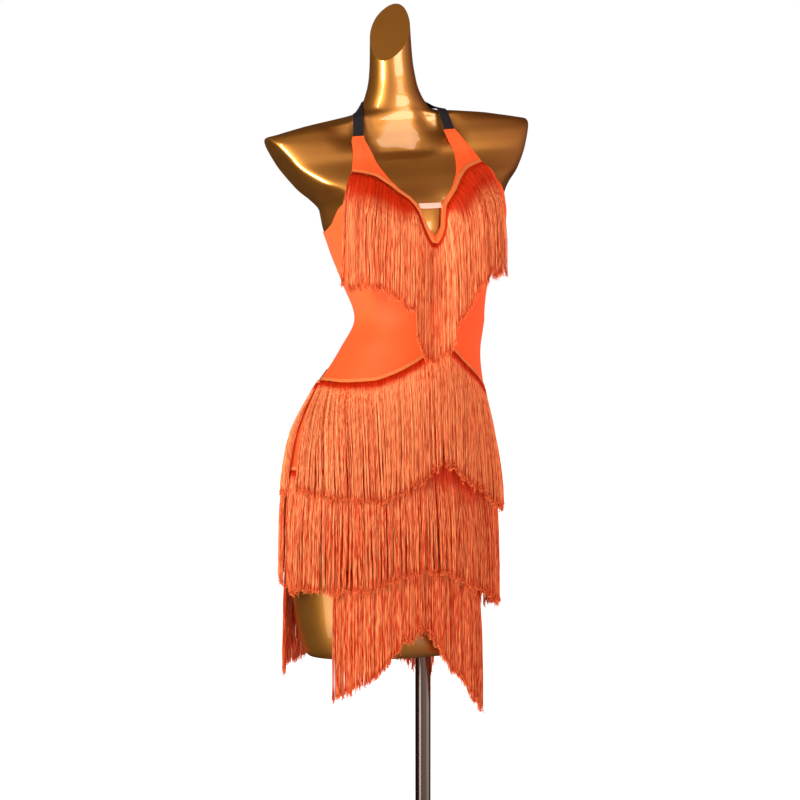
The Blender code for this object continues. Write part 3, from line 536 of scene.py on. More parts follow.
pole = turned(
    "pole_tube",
    [(POLE_RADIUS - CHAMFER, POLE_FOOT), (POLE_RADIUS, POLE_FOOT)]
    + [(POLE_RADIUS, h) for h in np.linspace(POLE_FOOT + CHAMFER, POLE_TOP - CHAMFER, 12)]
    + [(POLE_RADIUS - CHAMFER, POLE_TOP)],
    64,
)
curve = np.linspace(0, math.pi / 2, 7)
plate = turned(
    "base_disc",
    [(PLATE_RADIUS - 4 * CHAMFER, 0.0), (PLATE_RADIUS - CHAMFER, 0.0), (PLATE_RADIUS, CHAMFER)]
    + [
        (PLATE_RADIUS - PLATE_ROUNDING * (1 - math.cos(a)), PLATE_THICKNESS - PLATE_ROUNDING * (1 - math.sin(a)))
        for a in curve
    ]
    + [(PLATE_RADIUS - PLATE_ROUNDING - d * CHAMFER, PLATE_THICKNESS) for d in (2, 6)],
    128,
)

# Brushed steel. The drawing lines run along the tube, about 1 mm apart, and round the plate as it was turned. They
# draw the bright boxes out into long soft stripes.
for piece, node in ((pole, "pole"), (plate, "base_plate")):
    steel, tree, shader = new_material("brushed_steel_" + node, "#A89A94", 0.2, Metallic=1.0)
    place = add_node(tree, "TexCoord")
    if node == "pole":
        lines = add_node(tree, "Mapping", {"Vector": place.outputs["Object"], "Scale": (900, 900, 6)})
        grain = add_node(tree, "TexNoise", {"Vector": lines.outputs["Vector"], "Scale": 1.0, "Detail": 4.0})
        height = grain.outputs["Fac"]
    else:
        rings = add_node(
            tree,
            "TexWave",
            {"Vector": place.outputs["Object"], "Scale": 160.0, "Distortion": 1.5, "Detail": 3.0, "Detail Scale": 8.0},
            wave_type="RINGS",
            rings_direction="Z",
        )
        height = rings.outputs["Fac"]
    bump = add_node(tree, "Bump", {"Strength": 0.12, "Distance": 0.0005, "Height": height})
    tree.links.new(bump.outputs["Normal"], shader.inputs["Normal"])
    dull = add_node(tree, "MapRange", {"Value": height, "To Min": 0.12, "To Max": 0.24})
    tree.links.new(dull.outputs["Result"], shader.inputs["Roughness"])
    piece.data.materials.append(steel)
    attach(piece, "root")
    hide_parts(node)

# ---------------------------------------------------------------- bodice
# Nylon and elastane knit, cut in one front piece that runs from the hip seam up into two straps, and one band across
# the back. It is stretched on, so it lies flat on the form. Its free edges are turned in and stitched.

Line = namedtuple("Line", "angle height")
Edge = namedtuple("Edge", "height angle")

# Angles run round the body in degrees: 0 is the centre front and 90 the wearer's left side. The dress sits turned a
# little to the right, and its front wanders from that by a few degrees up the chest.
DRESS_CENTRE = -3
FRONT_SHIFT = (
    Edge(1.000, 0.0), Edge(1.080, 0.0), Edge(1.220, -2.2), Edge(1.270, -2.6), Edge(1.300, -0.4), Edge(1.330, 2.4),
    Edge(1.355, 2.8), Edge(1.375, 1.7), Edge(1.394, 0.8), Edge(1.460, 0.8),
)
FRONT_SHIFT_REACH = 130
HIP_LINE = (
    Line(-110, 1.000), Line(-97, 1.000), Line(-70, 0.997), Line(-45, 1.000), Line(-32, 1.010),
    Line(-18, 1.029), Line(-8, 1.046), Line(0, 1.057), Line(9, 1.049), Line(20, 1.033),
    Line(37, 1.013), Line(62, 0.988), Line(91, 0.980), Line(140, 0.984), Line(180, 0.992),
    Line(220, 0.996), Line(250, 1.000), Line(270, 1.000),
)
NECKLINE = (
    Edge(1.224, 0.0), Edge(1.240, 3.6), Edge(1.258, 4.8), Edge(1.270, 5.6), Edge(1.283, 8.0),
    Edge(1.303, 12.8), Edge(1.328, 14.0), Edge(1.352, 13.8), Edge(1.375, 13.3), Edge(1.394, 13.5),
)
ARMHOLE = (
    Edge(1.246, 88.2), Edge(1.256, 73.0), Edge(1.282, 60.0), Edge(1.300, 47.0), Edge(1.317, 37.0),
    Edge(1.340, 26.0), Edge(1.356, 22.2), Edge(1.376, 19.4), Edge(1.394, 18.0),
)
BODICE_REAR = (
    Edge(1.000, 104), Edge(1.020, 104), Edge(1.050, 114), Edge(1.090, 126), Edge(1.130, 130),
    Edge(1.250, 130),
)
UNDERARM_LINE = (Line(0, 1.224), Line(30, 1.227), Line(88.2, 1.246), Line(130, 1.250))

# The heights at the neckline and at the armhole of each row of the straps' cloth.
STRAP_LEVELS = (
    (1.240, 1.256), (1.258, 1.268), (1.270, 1.282), (1.283, 1.292), (1.303, 1.305), (1.322, 1.320),
    (1.340, 1.340), (1.358, 1.358), (1.376, 1.376), (1.394, 1.394),
)
BACK_TOP = (Line(130, 1.250), Line(150, 1.246), Line(180, 1.245), Line(210, 1.246), Line(230, 1.250))
BACK_ARCH = (
    Line(130, 1.145), Line(143, 1.156), Line(158, 1.164), Line(180, 1.168), Line(202, 1.164),
    Line(217, 1.156), Line(230, 1.145),
)
SEAM_GAP = 0.0003
SEAM_GAP_ANGLE = 0.2
CLOTH_INSIDE = 0.0008
CLOTH_THICKNESS = 0.0009

# The share of the front's half width that runs on up into a strap.
STRAP_SHARE = 8 / 11 * 97 / 104

# How finely the cloth is divided.
BODICE_ROWS = 56
STRAP_ROWS = 61
STRAP_COLUMNS = 41
SIDE_COLUMNS = 19
BACK_ROWS, BACK_COLUMNS = 31, 61

# Soft folds where the stretched cloth is drawn together, each from one point to another: their height in metres and
# angle in degrees, then the width and rise of the fold in millimetres.
Crease = namedtuple("Crease", "height angle end_height end_angle width rise")
CREASES = (
    # at the straps
    Crease(1.388, 16.0, 1.335, 20.5, 2.4, 0.9), Crease(1.386, 18.5, 1.350, 23.5, 2.0, 0.7),
    Crease(1.388, -13.0, 1.332, -16.0, 2.4, 0.9), Crease(1.384, -16.5, 1.345, -21.0, 2.0, 0.8),
    # round the waist, under the arms and over the hips
    Crease(1.085, -96.0, 1.110, -52.0, 5.0, 0.8), Crease(1.120, -100.0, 1.128, -62.0, 4.5, 0.6),
    Crease(1.085, 92.0, 1.108, 50.0, 5.0, 0.8), Crease(1.125, 98.0, 1.130, 64.0, 4.5, 0.6),
    Crease(1.240, -92.0, 1.205, -70.0, 4.0, 0.9), Crease(1.240, 88.0, 1.205, 68.0, 4.0, 0.9),
    Crease(1.050, -108.0, 1.035, -70.0, 5.0, 0.7), Crease(1.048, 102.0, 1.030, 66.0, 5.0, 0.7),
)
# A degree round the body is about this many metres, which serves for the folds.
DEGREE = 0.0019


def along_line(line, angle):
    """The height of a seam or edge at each angle."""
    table = np.array(line, float).T
    return smooth_through(table[0], table[1], angle)


def along_edge(edge, height):
    """The angle of an edge that runs up and down, at each height."""
    table = np.array(edge, float).T
    return smooth_through(table[0], table[1], height)


def on_dress(height, offset):
    """The angle of a point that lies `offset` degrees from the dress's centre front, to its left."""
    table = np.array(FRONT_SHIFT, float).T
    shift = smooth_through(table[0], table[1], np.asarray(height, float))
    return DRESS_CENTRE + offset + shift * np.clip(1 - np.abs(offset) / FRONT_SHIFT_REACH, 0, 1)


def folds(height, angle):
    """How far the soft folds lift the cloth at each place."""
    lift = np.zeros(np.shape(height))
    for fold in CREASES:
        start = np.array([fold.height, fold.angle * DEGREE])
        way = np.array([fold.end_height, fold.end_angle * DEGREE]) - start
        length = np.hypot(*way)
        away = np.stack([height - start[0], angle * DEGREE - start[1]], axis=-1)
        along = away @ way / length**2
        aside = (away @ np.array([-way[1], way[0]])) / length / (fold.width / 1000)
        ends = np.clip(along * (1 - along) * 4, 0, 1)
        lift += fold.rise / 1000 * ends * np.exp(-((aside + 0.4 * np.sin(3 * along)) ** 2))
    return lift


def between_rows(rows, count):
    """Rows of a grid, drawn out smoothly to more rows."""
    rows = np.array(rows)
    at = np.linspace(0, len(rows) - 1, count)
    return np.stack([smooth_through(np.arange(len(rows)), column, at) for column in rows.T], axis=1)


def panel(name, grids, inside=CLOTH_INSIDE, thickness=CLOTH_THICKNESS):
    """A thin closed cloth shell over the form, from grids of heights and angles that share their common points.

    Each edge that only one face uses is on the cloth's rim, where the inner and the outer side are joined.
    """
    index, faces, edges = {}, [], {}
    for heights, angles in grids:
        keys = np.stack([np.round(heights, 6), np.round(angles, 4)], axis=-1).reshape(-1, 2).tolist()
        ids = np.array([index.setdefault(tuple(key), len(index)) for key in keys]).reshape(np.shape(heights))
        quads = np.stack([ids[:-1, :-1], ids[:-1, 1:], ids[1:, 1:], ids[1:, :-1]], axis=-1)
        faces += quads.reshape(-1, 4).tolist()
    for face in faces:
        for a, b in zip(face, face[1:] + face[:1]):
            edges[min(a, b), max(a, b)] = edges.get((min(a, b), max(a, b)), 0) + 1
    count = len(index)
    height, angle = np.array(list(index)).T
    lift = folds(height, angle)
    inner = cover(height, angle, inside + lift)
    outer = cover(height, angle, inside + lift + thickness)
    rim = [(a, b, count + b, count + a) for (a, b), uses in edges.items() if uses == 1]
    far = [[count + k for k in face] for face in faces]
    mesh = mesh_from(name, np.concatenate([inner, outer]), faces + far + rim)
    mesh.set_sharp_from_angle(angle=math.radians(50))
    return add_to_scene(name, mesh)


def bodice_front_grids():
    """For each side, a grid from the hip seam up to the underarm line, and one that carries on into the strap."""
    low_rear, high_rear = BODICE_REAR[0].height, BODICE_REAR[-1].height
    inner = np.linspace(0, STRAP_SHARE, STRAP_COLUMNS)
    share = np.concatenate([inner, np.linspace(STRAP_SHARE, 1, SIDE_COLUMNS)[1:]])
    grids = []
    for side in (-1, 1):
        heights, offsets = [], []
        for rise in np.linspace(0, 1, BODICE_ROWS):
            offset = share * along_edge(BODICE_REAR, low_rear + rise * (high_rear - low_rear))
            foot = along_line(HIP_LINE, DRESS_CENTRE + side * offset) + SEAM_GAP / 2
            heights.append(foot + (along_line(UNDERARM_LINE, offset) - foot) * rise)
            offsets.append(offset)
        heights, offsets = np.array(heights), np.array(offsets)
        grids.append((heights, on_dress(heights, side * offsets)))
        prong = inner / STRAP_SHARE
        high_rows, high_offsets = [heights[-1][: len(prong)]], [offsets[-1][: len(prong)]]
        for neck, arm in STRAP_LEVELS:
            low, high = along_edge(NECKLINE, neck), along_edge(ARMHOLE, arm)
            high_rows.append(neck + (arm - neck) * prong)
            high_offsets.append(low + (high - low) * prong)
        high_rows, high_offsets = between_rows(high_rows, STRAP_ROWS), between_rows(high_offsets, STRAP_ROWS)
        high_rows[0], high_offsets[0] = heights[-1][: len(prong)], offsets[-1][: len(prong)]
        grids.append((high_rows, on_dress(high_rows, side * high_offsets)))
    return grids


def band_grid(offset, low, top, rows):
    """Rows between a lower and an upper edge that run round the body."""
    share = np.linspace(0, 1, rows)[:, None]
    return low + (top - low) * share, DRESS_CENTRE + offset + 0 * share


# Nylon and elastane knit, dyed orange: matte, a little bright where it turns away, as fine knit is, with wales about
# 0.4 mm apart that are drawn 1.2 mm apart so that they show.
lycra, tree, shader = new_material(
    "nylon_elastane_knit", "#F25A22", 0.62, Sheen_Weight=0.12, Sheen_Roughness=0.45, Specular_IOR_Level=0.25
)
shader.inputs["Sheen Tint"].default_value = linear("#FFB088")
place = add_node(tree, "TexCoord")
wales = add_node(
    tree,
    "TexWave",
    {"Vector": place.outputs["Object"], "Scale": 260.0, "Distortion": 0.6, "Detail": 1.0},
    bands_direction="DIAGONAL",
)
bump = add_node(tree, "Bump", {"Strength": 0.06, "Distance": 0.0005, "Height": wales.outputs["Fac"]})
tree.links.new(bump.outputs["Normal"], shader.inputs["Normal"])
cloud = add_node(tree, "TexNoise", {"Vector": place.outputs["Object"], "Scale": 9.0, "Detail": 4.0})
tint = add_node(tree, "Mix", {0: cloud.outputs["Fac"], 6: linear("#E84E1A"), 7: linear("#F56226")}, data_type="RGBA")
tree.links.new(tint.outputs[2], shader.inputs["Base Color"])

bodice_front = panel("lycra_bodice_front", bodice_front_grids())
rear = BODICE_REAR[-1].angle + SEAM_GAP_ANGLE
turn = np.linspace(rear, 360 - rear, BACK_COLUMNS)
bodice_back = panel(
    "lycra_bodice_back", [band_grid(turn, along_line(BACK_ARCH, turn), along_line(BACK_TOP, turn), BACK_ROWS)]
)

# ---------------------------------------------------------------- skirt
# The same knit in two halves, front and back, sewn to the bodice at the hip seam and open at both sides below the
# hip. Each half ends in an upturned V, cut to the line of the last row of fringe.

HEM_LINE_FRONT = (
    Line(-57, 0.688), Line(-35, 0.717), Line(-25, 0.739), Line(-20, 0.753), Line(-13, 0.775),
    Line(-4, 0.797), Line(8, 0.744), Line(16, 0.722), Line(31, 0.685), Line(50, 0.658),
)
HEM_LINE_BACK = (
    Line(104, 0.677), Line(125, 0.685), Line(140, 0.704), Line(150, 0.724), Line(180, 0.763),
    Line(213, 0.745), Line(250, 0.725),
)
FRONT_SLIT = (
    Edge(0.665, 53), Edge(0.700, 54), Edge(0.730, 58), Edge(0.760, 66), Edge(0.790, 77),
    Edge(0.820, 89), Edge(0.845, 97), Edge(1.000, 97),
)
BACK_SLIT = (Edge(0.690, 73), Edge(0.760, 75), Edge(0.795, 79), Edge(0.825, 82.8), Edge(1.000, 82.8))
SKIRT_TOP = 0.990
SKIRT_FALL = 0.300
SKIRT_ROWS, SKIRT_COLUMNS = 60, 101


def hip_line(angle):
    """The height of the hip seam at any angle, brought into the range of its table."""
    first = HIP_LINE[0].angle
    return along_line(HIP_LINE, (angle - first) % 360 + first)


def skirt_grid(centre, slit, hem):
    """Rows from the hip seam down to the hem, as wide as the slits leave at about each row's height."""
    rows, angles = [], []
    for drop in np.linspace(0, 1, SKIRT_ROWS):
        width = along_edge(slit, SKIRT_TOP - drop * SKIRT_FALL)
        angle = centre + np.linspace(-1, 1, SKIRT_COLUMNS) * width
        top = hip_line(angle) - SEAM_GAP / 2
        rows.append(top + (along_line(hem, angle) - top) * drop)
        angles.append(angle)
    return np.array(rows), np.array(angles)


skirt_front = panel("lycra_skirt_front", [skirt_grid(DRESS_CENTRE, FRONT_SLIT, HEM_LINE_FRONT)])
skirt_back = panel("lycra_skirt_back", [skirt_grid(DRESS_CENTRE + 180, BACK_SLIT, HEM_LINE_BACK)])

# ---------------------------------------------------------------- elastics
# Black woven elastic, 16 mm wide, closes the open back above the skirt and goes round the neck as the halter. A
# 9 mm pale pink elastic holds the two sides of the V together.

HALTER_PATH = (
    Edge(1.3943, 15.8), Edge(1.408, 17.5), Edge(1.418, 22), Edge(1.427, 36), Edge(1.433, 60),
    Edge(1.440, 95), Edge(1.446, 130), Edge(1.450, 160), Edge(1.451, 180),
)
ELASTIC_WIDTH = 0.016
ELASTIC_THICKNESS = 0.0012
HALTER_STANDOFF = 0.0016
HALTER_POINTS = 48
HALTER_STEPS = 160
TIGHTENINGS = 40
STRAP_TIP = 1.394
STRAP_TIP_EDGES = np.array([19, 13])
BRIDGE_HEIGHT = 1.2725
BRIDGE_WIDTH = 0.009
BRIDGE_TUCK = 0.1


def ribbon(name, middle, width, lift, breadth, thickness, across=8):
    """A closed flat band along points, with unit vectors for its width and for its outer side."""
    share = np.linspace(-0.5, 0.5, across)
    flat = middle[:, None] + width[:, None] * (share * breadth)[None, :, None]
    ring = np.concatenate([flat, flat[:, ::-1] + lift[:, None] * thickness], axis=1)
    mesh = mesh_from(name, ring.reshape(-1, 3), tube_faces(len(middle), 2 * across))
    mesh.set_sharp_from_angle(angle=math.radians(50))
    return add_to_scene(name, mesh)


def unit(vectors):
    return vectors / np.linalg.norm(vectors, axis=-1, keepdims=True)


def run_along(line):
    """How far along a line each of its points lies."""
    return np.concatenate([[0], np.cumsum(np.linalg.norm(np.diff(line, axis=0), axis=1))])


def resample(run, at, values):
    return np.stack([np.interp(at, run, column) for column in values.T], axis=-1)


def relaxed(rows):
    """Rows with each moved halfway to the middle between its neighbours. The first and last stay."""
    return np.concatenate([rows[:1], (rows[:-2] + 2 * rows[1:-1] + rows[2:]) / 4, rows[-1:]])


def halter():
    """The strap from one tip round the neck to the other, drawn tight and lying on the form.

    Its width lies across its way, and turns at the tips to lie in the ends of the cloth's straps.
    """
    path = [*HALTER_PATH, *((height, 360 - angle) for height, angle in HALTER_PATH[-2::-1])]
    table = np.array(path).T
    place = np.arange(len(path))
    fine = np.linspace(0, len(path) - 1, 400)
    height = smooth_through(place, table[0], fine)
    angle = smooth_through(place, table[1], fine)
    centre = cover(height, on_dress(height, np.where(angle > 180, angle - 360, angle)), HALTER_STANDOFF)
    run = run_along(centre)
    centre = resample(run, np.linspace(0, run[-1], HALTER_POINTS), centre)
    for _ in range(TIGHTENINGS):
        centre = relaxed(centre)
        distance, away = nearest(centre)
        centre[1:-1] += (away * np.maximum(HALTER_STANDOFF - distance, 0)[:, None])[1:-1]
    centre = between_rows(centre, HALTER_STEPS)
    up = nearest(centre)[1]
    for _ in range(TIGHTENINGS):
        up = relaxed(up)
    tangent = np.gradient(centre, axis=0)
    width = np.cross(up, tangent)
    for end, side in ((0, 1), (-1, -1)):
        spread = np.subtract(*skin(STRAP_TIP, on_dress(STRAP_TIP, side * STRAP_TIP_EDGES)))
        width[end] = spread * np.sign(spread @ width[end])
    width = unit(width)
    for _ in range(6):
        width = relaxed(width)
    width = unit(width)
    return ribbon(
        "black_halter_elastic", centre, width, unit(np.cross(tangent, width)), ELASTIC_WIDTH, ELASTIC_THICKNESS
    )


def bridge():
    """The elastic across the V, straight from one edge of the neckline to the other."""
    reach = along_edge(NECKLINE, np.array(BRIDGE_HEIGHT)) - BRIDGE_TUCK
    ends = cover(BRIDGE_HEIGHT, on_dress(BRIDGE_HEIGHT, reach * np.array([-1, 1])), CLOTH_INSIDE)
    share = np.linspace(0, 1, 25)[:, None]
    middle = ends[0] + (ends[1] - ends[0]) * share
    out = unit(nearest(ends)[1].mean(axis=0))
    width = np.cross(unit(ends[1] - ends[0]), out)
    width, out = (np.tile(way, (len(share), 1)) for way in (width, out))
    return ribbon("pink_bridge_elastic", middle, width, out, BRIDGE_WIDTH, ELASTIC_THICKNESS)


rear = BODICE_REAR[0].angle + SEAM_GAP_ANGLE
turn = np.linspace(rear, 360 - rear, 81)
low = hip_line(DRESS_CENTRE + turn) + SEAM_GAP / 2
back_elastic = panel("black_back_elastic", [band_grid(turn, low, low + ELASTIC_WIDTH, 9)], thickness=ELASTIC_THICKNESS)
halter_strap = halter()
bridge_elastic = bridge()

# Woven elastic: rubber threads wrapped in polyester. Ribs 1.5 mm apart run across it, and it is black and matte, or a
# plush pale pink.
for name, dark, light, node, piece in (
    ("woven_black_elastic", "#0C0A0F", "#1C191F", "halter_strap", halter_strap),
    ("woven_black_back_elastic", "#0C0A0F", "#1C191F", "back_elastic", back_elastic),
    ("plush_pink_elastic", "#EFB9A3", "#F8D2C2", "bridge_elastic", bridge_elastic),
):
    elastic, tree, shader = new_material(name, dark, 0.8, Specular_IOR_Level=0.3)
    place = add_node(tree, "TexCoord")
    ribs = add_node(
        tree, "TexWave", {"Vector": place.outputs["Object"], "Scale": 210.0, "Distortion": 1.0, "Detail": 2.0}
    )
    tint = add_node(tree, "Mix", {0: ribs.outputs["Fac"], 6: linear(dark), 7: linear(light)}, data_type="RGBA")
    tree.links.new(tint.outputs[2], shader.inputs["Base Color"])
    bump = add_node(tree, "Bump", {"Strength": 0.35, "Distance": 0.0006, "Height": ribs.outputs["Fac"]})
    tree.links.new(bump.outputs["Normal"], shader.inputs["Normal"])
    piece.data.materials.append(elastic)
    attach(piece, "root")
    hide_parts(node)

# ---------------------------------------------------------------- fringe
# Rayon chainette fringe, 200 mm from the top of its tape to its ends: each strand is a fine knitted cord about 1 mm
# thick, caught in a narrow tape at its top and cut at its end, where it curls. The tape is sewn on along its length.

FRINGE_DROP = 0.200
TAPE_WIDTH = 0.007
TAPE_THICKNESS = 0.0016
TAPE_STANDOFF = CLOTH_INSIDE + CLOTH_THICKNESS + 0.0003
TAPE_STEP = 0.001

# A tape's section, as shares of its width and of its thickness. It dips at its two rows of stitches.
TAPE_ACROSS = np.array([0.0, 0.0, 0.1, 0.24, 0.32, 0.40, 0.64, 0.72, 0.80, 0.92, 1.0, 1.0])
TAPE_RISE = np.array([0.0, 0.6, 1.0, 0.95, 0.55, 0.95, 0.95, 0.55, 0.95, 1.0, 0.6, 0.0])

# Strands leave the tape near its lower edge. Each has points at these shares of its length, and its curl has more.
ROOT_PLACE = 0.9
STRAND_FALL = FRINGE_DROP - TAPE_WIDTH
STRAND_STANDOFF = 0.0028
STRAND_RADIUS = 0.00046
STRAND_SHARES = np.array([0.0, 0.06, 0.16, 0.29, 0.43, 0.57, 0.71, 0.86, 1.0])
CURL_STEPS = 3

# Strands lie in three layers. This is how many there are to a metre of tape, less behind, where they are less seen.
LAYER_SHARES = (0.42, 0.34, 0.24)
FRONT_DENSITY = 4200
BACK_DENSITY = 3200

# Strands gather in bunches and these in locks, with breadths, lengths and sway of their own, in metres.
BUNCH_BREADTH = (0.0020, 0.0055)
LOCK_BREADTH = (0.014, 0.034)
BUNCH_LENGTH = (-0.0065, 0.0050)
LOCK_LENGTH = (-0.003, 0.003)
STRAND_LENGTH_SPREAD = 0.0028
CURLED_UP = 0.004
BUNCH_SWAY = (-0.0015, 0.0015)
LOCK_SWAY = (-0.0022, 0.0022)
BUNCH_WAVE = 0.0006
STRAND_WAVE = 0.00035
STRAY = 0.00045

# The share by which bunches and locks draw their strands together, how far the layers, bunches and locks lie out
# from the body, and how far and how tightly an end curls.
BUNCH_PULL = (0.05, 0.5)
LOCK_PULL = (0.0, 0.07)
LAYER_DEPTH = (0.0006, 0.0026)
STRAND_DEPTH = 0.0006
STRAND_SWIRL = 0.0004
BUNCH_DEPTH = (0.0, 0.0022)
LOCK_DEPTH = (0.0, 0.0015)
CURL_TURN = (0.6, 3.3)
CURL_RADIUS = (0.0010, 0.0028)

# How much of a strand's tone comes from its bunch and from itself, at random, and from each layer further out, which
# is
# painted shade: the inner layers deeper, the outer ones lighter.
BUNCH_TONE, STRAND_TONE, LAYER_PAINTED_SHADE = 0.25, 0.5, 0.13

# A guide shows how the strands that start near it hang. There is one every 4 mm, followed in steps of its fall and
# a little past it.
GUIDE_PITCH = 0.004
GUIDE_STEPS = 50
GUIDE_SPARE = 6
GUIDE_STEP = STRAND_FALL / GUIDE_STEPS

# The top edges of the tapes. That of the bust is given for one side, from the strap to the point of the V, in degrees
# from the dress's centre front, and is mirrored.
BUST_TAPE = (
    Line(25.3, 1.341), Line(21.0, 1.336), Line(17.0, 1.328), Line(15.0, 1.316), Line(13.3, 1.301),
    Line(8.5, 1.283), Line(6.0, 1.270), Line(5.1, 1.258), Line(3.9, 1.240), Line(1.5, 1.224),
    Line(0, 1.219),
)
MIDDLE_LINE_FRONT = (
    Line(-100, 0.862), Line(-57, 0.866), Line(-38, 0.867), Line(-25, 0.877), Line(-14, 0.887),
    Line(-2, 0.891), Line(10, 0.883), Line(22, 0.865), Line(49, 0.843), Line(94, 0.829),
)
MIDDLE_LINE_BACK = (
    Line(94, 0.831), Line(118, 0.857), Line(150, 0.881), Line(180, 0.890), Line(210, 0.891),
    Line(242, 0.883), Line(263, 0.870),
)

# How strands differ along a run, as rows of angle and value. The lean is sideways, towards the wearer's left where it
# is above zero: at the bust the strands draw together under it. The root is the share of a strand's length that is
# painted a deep red as painted shade, for the shade near the tape and, on the middle row, the shadow of the row above.
# The trim is how much shorter strands were cut, in metres.
EVEN = ((0, 0), (1, 0))
SHORT_ROOT = ((0, 0.09), (1, 0.09))
BUST_LEAN = (
    (-25, -0.50), (-20, -0.32), (-15, -0.10), (-11, 0.12), (-8, 0.08), (-5, -0.28), (-2, -0.10),
    (0, 0), (4, 0.30), (8, 0.45), (12, 0.58), (18, 0.60), (21, 0.54), (25, 0.38),
)
BUST_TRIM = ((-23, 0.002), (-19, 0.009), (-8, 0.012), (-5, 0.0), (10, 0.0))
HIP_LEAN_FRONT = ((-99.5, 0.45), (-85, 0.27), (-60, 0.08), (-30, -0.01), (3, -0.09), (35, -0.02), (93.5, -0.10))
HIP_LEAN_BACK = ((96, 0.10), (130, 0.0), (225, 0.0), (247, 0.0), (258, 0.12))
MIDDLE_LEAN_FRONT = ((-98.5, 0.24), (-90, 0.10), (-78, 0.0))
# Painted shadow: under the point of the hip row, the middle row's strands are painted deep red further down, where
# that row's shadow falls.
MIDDLE_ROOT_FRONT = ((-55, 0.08), (-28, 0.34), (25, 0.34), (50, 0.16))
HEM_TRIM_BACK = ((104.5, 0.070), (126.5, 0.065), (130, 0.0))

# The bust's root at the point of the V, and how much longer it is up its sides. Then the lengths over which the lean
# fades.
BUST_ROOT = (0.06, 0.30)
BUST_FADE = 0.035
LEVEL_FADE = 0.12
RUN_STEPS = 241

# What each run of fringe is: its name, the heights and angles of its tape, how much further from the body its
# strands come over a length, how many there are to a metre, how deep they lie on each other, how much they gather in
# bunches, how much lighter their tone is painted, the length over which their lean fades, whether the tape lies square
# to its path, and the lean, root and trim along it. That lightness is painted light and shade: the hip rows lighter,
# as light falls on them from above, and the middle and hem rows deeper, in shade.
Run = namedtuple("Run", "name path rise length density depth gather light fade square lean root trim")


def along_run(table, angle):
    return np.interp(angle, *np.array(table, float).T)


def bust_run():
    """Down one side of the V and up the other, square to it. The roots are short near its point."""
    table = np.array(BUST_TAPE + tuple((-angle, height) for angle, height in BUST_TAPE[-2::-1])).T
    share = np.linspace(0, 1, table.shape[1])
    fine = np.linspace(0, 1, RUN_STEPS)
    height = smooth_through(share, table[1], fine)
    offset = -smooth_through(share, table[0], fine)
    root = BUST_ROOT[0] + BUST_ROOT[1] * ramp(np.abs(offset), 5, 14)
    path = (height, on_dress(height, offset))
    lean, trim = along_run(BUST_LEAN, offset), along_run(BUST_TRIM, offset)
    return Run("bust_fringe", path, 0.0050, 0.030, FRONT_DENSITY, 1.0, 1.0, 0.0, BUST_FADE, True, lean, root, trim)


def level_run(
    name, line, ends, lift, rise, length, density, light, depth=1.0, gather=1.0, lean=EVEN, root=SHORT_ROOT, trim=EVEN
):
    """Round the body between two angles, a little above or below a line, hanging straight down from it."""
    angle = np.linspace(*ends, RUN_STEPS)
    path = (along_line(line, angle) + lift, angle)
    ways = [along_run(table, angle) for table in (lean, root, trim)]
    return Run(name, path, rise, length, density, depth, gather, light, LEVEL_FADE, False, *ways)


# Each row's light is painted: the hip rows lighter as painted light, the middle and hem rows deeper as painted shade.
RUNS = (
    bust_run(),
    level_run(
        "hip_fringe_front", HIP_LINE, (-99.5, 93.5), lift=0.003, rise=0.0105, length=FRINGE_DROP,
        density=FRONT_DENSITY, light=0.1, lean=HIP_LEAN_FRONT,
    ),
    level_run(
        "hip_fringe_back", HIP_LINE, (96, 258), lift=-0.001, rise=0.0040, length=0.110,
        density=BACK_DENSITY, light=0.1, depth=0.6, lean=HIP_LEAN_BACK,
    ),
    level_run(
        "middle_fringe_front", MIDDLE_LINE_FRONT, (-98.5, 92.5), lift=0, rise=0.0095, length=0.110,
        density=FRONT_DENSITY, light=-0.14, gather=1.2, lean=MIDDLE_LEAN_FRONT, root=MIDDLE_ROOT_FRONT,
    ),
    level_run(
        "middle_fringe_back", MIDDLE_LINE_BACK, (95.5, 258.5), lift=0, rise=0.0050, length=0.090,
        density=BACK_DENSITY, light=-0.14, depth=0.8, gather=1.2,
    ),
    level_run(
        "hem_fringe_front", HEM_LINE_FRONT, (-56, 50), lift=0.006, rise=0.0024, length=0.090,
        density=FRONT_DENSITY, light=-0.22, gather=0.15,
    ),
    level_run(
        "hem_fringe_back", HEM_LINE_BACK, (104.5, 249.5), lift=0.006, rise=0.0024, length=0.090,
        density=BACK_DENSITY, light=-0.25, gather=0.15, trim=HEM_TRIM_BACK,
    ),
)


def tape_frame(run_of):
    """Points along a tape's top edge every millimetre, with unit vectors down its face.

    With them come the lean, root and trim of the strands there.
    """
    line = cover(*run_of.path, TAPE_STANDOFF)
    run = run_along(line)
    at = np.linspace(0, run[-1], round(run[-1] / TAPE_STEP) + 1)
    top = resample(run, at, line)
    away = nearest(top)[1]
    along = resample(run, at + 4 * TAPE_STEP, line) - resample(run, at - 4 * TAPE_STEP, line)
    if run_of.square:
        down = np.cross(along, away)
        down *= -np.sign(down[:, 2].sum())
    else:
        down = np.array([0, 0, -1]) + away * away[:, 2:]
    ways = [np.interp(at, run, values) for values in (run_of.lean, run_of.root, run_of.trim)]
    return at, top, unit(down), ways


def hang(start, rise, length, lean, fade):
    """Where a strand from each start point lies after each step of its length.

    It slides down the body, lifting off it by `rise` over the given length, and falls plumb where the body
    draws back. Its lean to the left fades along it.
    """
    first, away = nearest(start)
    lean = lean[:, None] * np.stack([-away[:, 1], away[:, 0], 0 * away[:, 0]], axis=-1)
    point, places = start, [start]
    for k in range(1, GUIDE_STEPS + GUIDE_SPARE):
        stand = first + rise * min(1, k * GUIDE_STEP / length)
        moved = point + GUIDE_STEP * (np.array([0, 0, -1]) + lean * math.exp(-k * GUIDE_STEP / fade))
        for _ in range(2):
            distance, away = nearest(moved)
            moved = moved + away * np.maximum(stand - distance, 0)[..., None]
            moved = point + unit(moved - point) * GUIDE_STEP
        point = moved
        places.append(point)
    return np.array(places).transpose(1, 0, 2)


